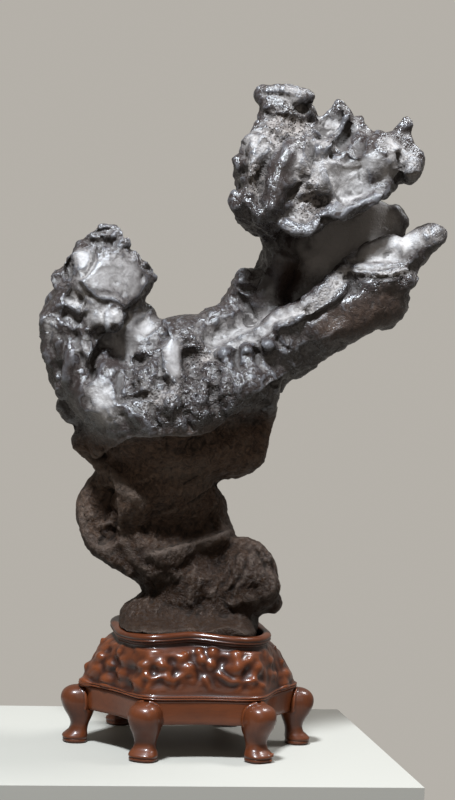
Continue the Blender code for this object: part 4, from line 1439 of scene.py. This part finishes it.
# Knobs and hollows on the front, as width, lift and place.
FRONT_ROCKWORK = (
    (4.5, 3.0, (124, 660)), (4.5, 3.4, (143, 666)), (4.5, 3.2, (146, 676)), (5.5, 3.4, (138, 683)),
    (4.5, 3.4, (162, 665)), (4.5, 3.2, (183, 657)), (3.5, 2.2, (199, 652)), (4.5, 2.8, (213, 652)),
    (5.0, 4.0, (189, 668)), (4.0, 2.6, (202, 660)), (4.5, 3.4, (211, 665)), (4.5, 3.2, (236, 656)),
    (8.0, 4.6, (237, 667)), (4.0, 2.8, (248, 661)), (4.5, 3.4, (271, 661)), (4.0, 2.8, (259, 667)),
    (5.0, 4.0, (272, 674)), (4.5, 3.0, (251, 683)), (6.0, 3.6, (286, 674)), (5.0, 3.0, (284, 684)),
    (5.0, 3.2, (99, 657)), (7.0, 4.0, (95, 669)), (5.0, 3.0, (110, 664)), (6.0, 3.4, (106, 680)),
    (6.0, 3.6, (84, 683)), (4.5, 3.0, (122, 674)), (4.5, 2.6, (168, 678)),
    (5.0, -2.6, (153, 671)), (4.5, -2.4, (173, 662)), (5.0, -3.0, (176, 672)), (4.0, -2.6, (199, 675)),
    (4.5, -2.6, (222, 662)), (4.5, -2.4, (247, 673)), (4.5, -2.6, (262, 678)), (4.5, -2.4, (131, 670)),
    (4.0, -2.2, (113, 672)), (5.0, -2.4, (128, 686)),
)
FRONT_RIDGES = (
    ("arch of the flare", "sharp", 3.5, 2.2, (
        (172, 687), (177, 677), (190, 674), (204, 678), (210, 688))),
    ("looped ridge", "round", 4, 3.0, ((217, 672), (224, 678), (232, 682), (241, 680))),
    ("left arch", "sharp", 3.5, 2.0, ((146, 690), (152, 680), (162, 677), (170, 684))),
    ("right arch", "sharp", 3.5, 2.0, ((238, 690), (245, 682), (256, 680), (266, 688))),
)
block.transform(rock_home)
knobs = [("knob", "round", KNOB_SPREAD * width, lift, (place,)) for width, lift, place in FRONT_ROCKWORK]
work(block, from_front, [*knobs, *FRONT_RIDGES])
block.transform(rock_place)


# %% The same rockwork round the sides and the back
ROCKWORK_ROWS = ((79, 13, 4.5, 3.2), (71, 12, 5.5, 3.8), (63, 13, 5.0, 3.2))
ROCKWORK_FRONT = (math.radians(210), math.radians(322))


def press_rockwork(mesh, seed):
    """Knobs and hollows by turns, nudged off their rows so that no two sides are alike."""
    jitter = np.random.default_rng(seed)
    points = skin_points(mesh)
    normals = skin_normals(mesh)
    moved = points.copy()
    for height, count, width, lift in ROCKWORK_ROWS:
        for number in range(2 * count):
            bearing = math.pi * (number + jitter.uniform(-0.3, 0.3)) / count
            middle = np.array(flare_row(height + jitter.uniform(-3, 3))(bearing))
            size = width * jitter.uniform(0.8, 1.25) * MM
            rise = (lift if number % 2 else -0.6 * lift) * jitter.uniform(0.75, 1.2) * MM
            if ROCKWORK_FRONT[0] < bearing < ROCKWORK_FRONT[1]:
                continue
            gap = np.linalg.norm(points - middle, axis=1) / size
            moved += normals * (rise * tool_round(np.minimum(gap, 1)))[:, None]
    move_skin(mesh, moved)


press_rockwork(block, 5)

# %% The rockwork runs together
points = skin_points(block)
height = points[:, 2] / MM
carved = np.clip((height - 54) / 6, 0, 1) * np.clip((87 - height) / 3, 0, 1)
spots = (points - np.array(STAND_CENTRE)) / MM
bent = spots + noise_at(spots, 12, lumps_at)[:, None] * 4
flow = noise_at(spots, 13, lumps_at) * 1.2 + noise_at(bent, 12, cobbles_at) * 0.6
points = points + skin_normals(block) * (flow * carved * MM)[:, None]
worn = relax(block, points, 4)
move_skin(block, points + (worn - points) * carved[:, None])

# %% [markdown]
# ## Apron and legs
# The apron is a plain band, open inside. A leg is an oval raised through its own section: a pad,
# a thin ankle and a full knee that laps over the apron. Where the knee would run into the apron,
# its points are set back on the apron's face, and a fine bead runs round it there.

# %% Apron
APRON_SEGMENTS = 240
# How far off the hexagon's line, and the height, in mm.
APRON_SECTION = (
    (-8, 47), (-8, 40), (-8, 29), (-7.6, 28), (-6.6, 27.5), (-3.2, 27.5), (-2.2, 27.8), (-1.7, 28.6),
    (-1.3, 31), (-1.0, 34), (-0.6, 39), (-0.2, 44), (-0.1, 46.2), (-0.7, 47),
)


def apron_row(off, height):
    return lambda bearing: stand_place(bearing, hexagon(bearing) + off * MM, height * MM)


apron_rows = [apron_row(*station) for station in APRON_SECTION + APRON_SECTION[:1]]
apron_shape = raise_rings(APRON_SEGMENTS, apron_rows)
bmesh.ops.remove_doubles(apron_shape, verts=apron_shape.verts, dist=0.01 * MM)
apron = mesh_from(apron_shape, "apron_band")

# %% A leg
LEG_SEGMENTS = 80
LEG_STEPS = 7
LEG_SQUARENESS = 2.4
# From the floor up: height, how far its inner and its outer side stand out from the corner of the
# hexagon, and half its width, in mm.
LEG_SECTION = (
    (0.0, -4.6, 10.6, 9.0), (0.5, -5.6, 12.2, 10.3), (1.6, -6.0, 13.3, 11.1), (2.8, -5.8, 13.2, 11.0),
    (3.4, -5.6, 12.9, 10.8), (4.2, -6.0, 13.8, 11.3), (5.6, -6.2, 13.6, 11.4), (7.6, -6.2, 11.6, 10.5),
    (10.5, -6.2, 8.6, 9.0), (15.0, -7.0, 7.5, 8.6), (20.0, -9.0, 9.2, 9.9), (26.0, -11.0, 13.0, 11.8),
    (32.0, -11.0, 15.5, 12.8), (37.0, -10.5, 15.9, 12.6), (41.0, -9.0, 14.4, 11.4),
    (43.8, -7.0, 11.4, 8.8), (45.4, -4.0, 7.6, 5.6), (46.0, -1.0, 4.0, 2.4),
)
LEG_NAMES = (
    "leg_right", "leg_back_right", "leg_back_left",
    "leg_left", "leg_front_left", "leg_front_right",
)
BEAD_START = 0.2 * MM
BEAD_OFF = 1.3 * MM
BEAD_WIDTH = 2.2 * MM
BEAD_HEIGHT = 1.3 * MM


def oval_row(height, inner, outer, half_width):
    """A squarish oval across the leg; the corner is the origin and +X is outwards."""
    def row(angle):
        power = 2 / LEG_SQUARENESS
        across = math.copysign(abs(math.cos(angle)) ** power, math.cos(angle))
        along = math.copysign(abs(math.sin(angle)) ** power, math.sin(angle))
        x = (inner + outer) / 2 + (outer - inner) / 2 * across
        return Vector((x, half_width * along, height)) * MM
    return row


def leg_rows():
    """The section's stations with smooth steps between them."""
    rows = []
    for stretch in stretches(LEG_SECTION):
        rows += [oval_row(*catmull(*stretch, step / LEG_STEPS)) for step in range(LEG_STEPS)]
    return rows + [oval_row(*LEG_SECTION[-1])]


def off_apron(point):
    """How far a point stands off the hexagon's line, and its bearing on the stand."""
    flat = point - STAND_CENTRE
    bearing = math.atan2(flat.y, flat.x)
    return math.hypot(flat.x, flat.y) - hexagon(bearing) - GAP, bearing


def set_on_apron(shape):
    """Brings what would run into the apron out to its face, which leans in towards the bottom."""
    for point in shape.verts:
        if point.co.z < APRON_BOTTOM - GAP:
            continue
        off, bearing = off_apron(point.co)
        up = (point.co.z - APRON_BOTTOM) / (APRON_TOP - APRON_BOTTOM)
        out = off + APRON_BATTER * max(0.0, 1 - up)
        if out < 0:
            point.co -= Vector((math.cos(bearing), math.sin(bearing), 0)) * out


def grow_bead(shape):
    """A raised line round the knee, just off the apron's face."""
    shape.normal_update()
    moves = {}
    for point in shape.verts:
        off, _ = off_apron(point.co)
        if point.co.z > APRON_BOTTOM and off > BEAD_START:
            near = 1 - abs(off - BEAD_OFF) / BEAD_WIDTH * 2
            moves[point] = point.normal * BEAD_HEIGHT * max(0.0, near)
    for point, move in moves.items():
        point.co += move


def leg_mesh(name, corner):
    even = corner * 2 * math.pi / SIDES
    bearing = math.atan2(math.sin(even), HEXAGON_STRETCH * math.cos(even))
    shape = raise_rings(LEG_SEGMENTS, leg_rows())
    bmesh.ops.holes_fill(shape, edges=shape.edges, sides=0)
    out = Matrix.Translation(Vector((hexagon(bearing), 0, 0)))
    place = Matrix.Translation(STAND_CENTRE) @ Matrix.Rotation(bearing, 4, "Z") @ out
    bmesh.ops.transform(shape, matrix=place, verts=shape.verts)
    set_on_apron(shape)
    grow_bead(shape)
    return mesh_from(shape, name)


legs = {name: leg_mesh(f"carved_{name}", corner) for corner, name in enumerate(LEG_NAMES)}
print(len(legs), "legs of", len(legs["leg_left"].vertices), "points")

# %% A chipped toe
TOE_CHIP = (
    ("spur", "sharp", 2.6, 3.0, ((273, 754),)),
    ("chip", "sharp", 2.4, -3.0, ((272, 758),)),
    ("lower point", "sharp", 1.8, 1.6, ((272, 761),)),
)
chipped = legs["leg_front_right"]
chipped.transform(rock_home)
work(chipped, from_front, TOE_CHIP)
chipped.transform(rock_place)

# %% [markdown]
# ## The hardwood's finish
# A red-brown wood under a thin hard polish. Its long pores run level in the block and upright in
# the legs. The finish is lighter on the high places and darker in the carved hollows, so it reads
# how hollow the skin is, as the stone's does. The rim of the seat is darkest.

# %% Hardwood
RIM_FOOT = 84 * MM
RIM_FADE = 4 * MM


def hardwood(name, along):
    finish = Finish(name)
    cavity = finish.attribute("cavity")
    stretched = finish.node("ShaderNodeMapping", None, {"Vector": finish.place, "Scale": along})
    pores = finish.noise(0.0016, 4, 0.6, 0.3, stretched)
    bands = finish.noise(0.012, 3, 0.5, 0.8, stretched)
    cloud = finish.noise(0.03, 3)
    # Lighter on the high places and darker in the carved hollows, with cloudy and banded changes of
    # tone.
    worn = (0.45 - cavity * 0.55 + (cloud - 0.5) * 0.9 + (bands - 0.5) * 0.6).held()
    tone = finish.between(worn, rgb(0.016, 0.0034, 0.001), rgb(0.09, 0.0235, 0.0075))
    tone = finish.between((pores * 1.6 - 0.75).held() * 0.5, tone, rgb(0.02, 0.006, 0.003))
    height = finish.node("ShaderNodeSeparateXYZ", None, {"Vector": finish.place}, "Z")
    on_rim = ((height - RIM_FOOT) * (1 / RIM_FADE)).held()
    tone = finish.between(on_rim * 0.55, tone, rgb(0.022, 0.0045, 0.0012))
    return finish.shade(
        Base_Color=tone,
        Roughness=(0.34 + cavity * 0.1 + pores * 0.12).held(),
        Coat_Weight=0.25,
        Coat_Roughness=0.12,
        IOR=1.3,
        Normal=finish.bump(pores, 0.0002, 0.5),
    )


level_grain = hardwood("polished hardwood, level grain", (0.12, 1.0, 1.0))
upright_grain = hardwood("polished hardwood, upright grain", (1.0, 1.0, 0.12))
pieces = [("stand_top", block, level_grain), ("apron", apron, level_grain)]
pieces += [(name, mesh, upright_grain) for name, mesh in legs.items()]
for node, mesh, wood in pieces:
    hollow = np.clip((hollowness(mesh, 6) * 2.2 + hollowness(mesh, 40) * 0.5) / MM, -1, 1)
    keep_layer(mesh, "cavity", hollow)
    mesh.materials.append(wood)
    stand_piece(mesh, node)
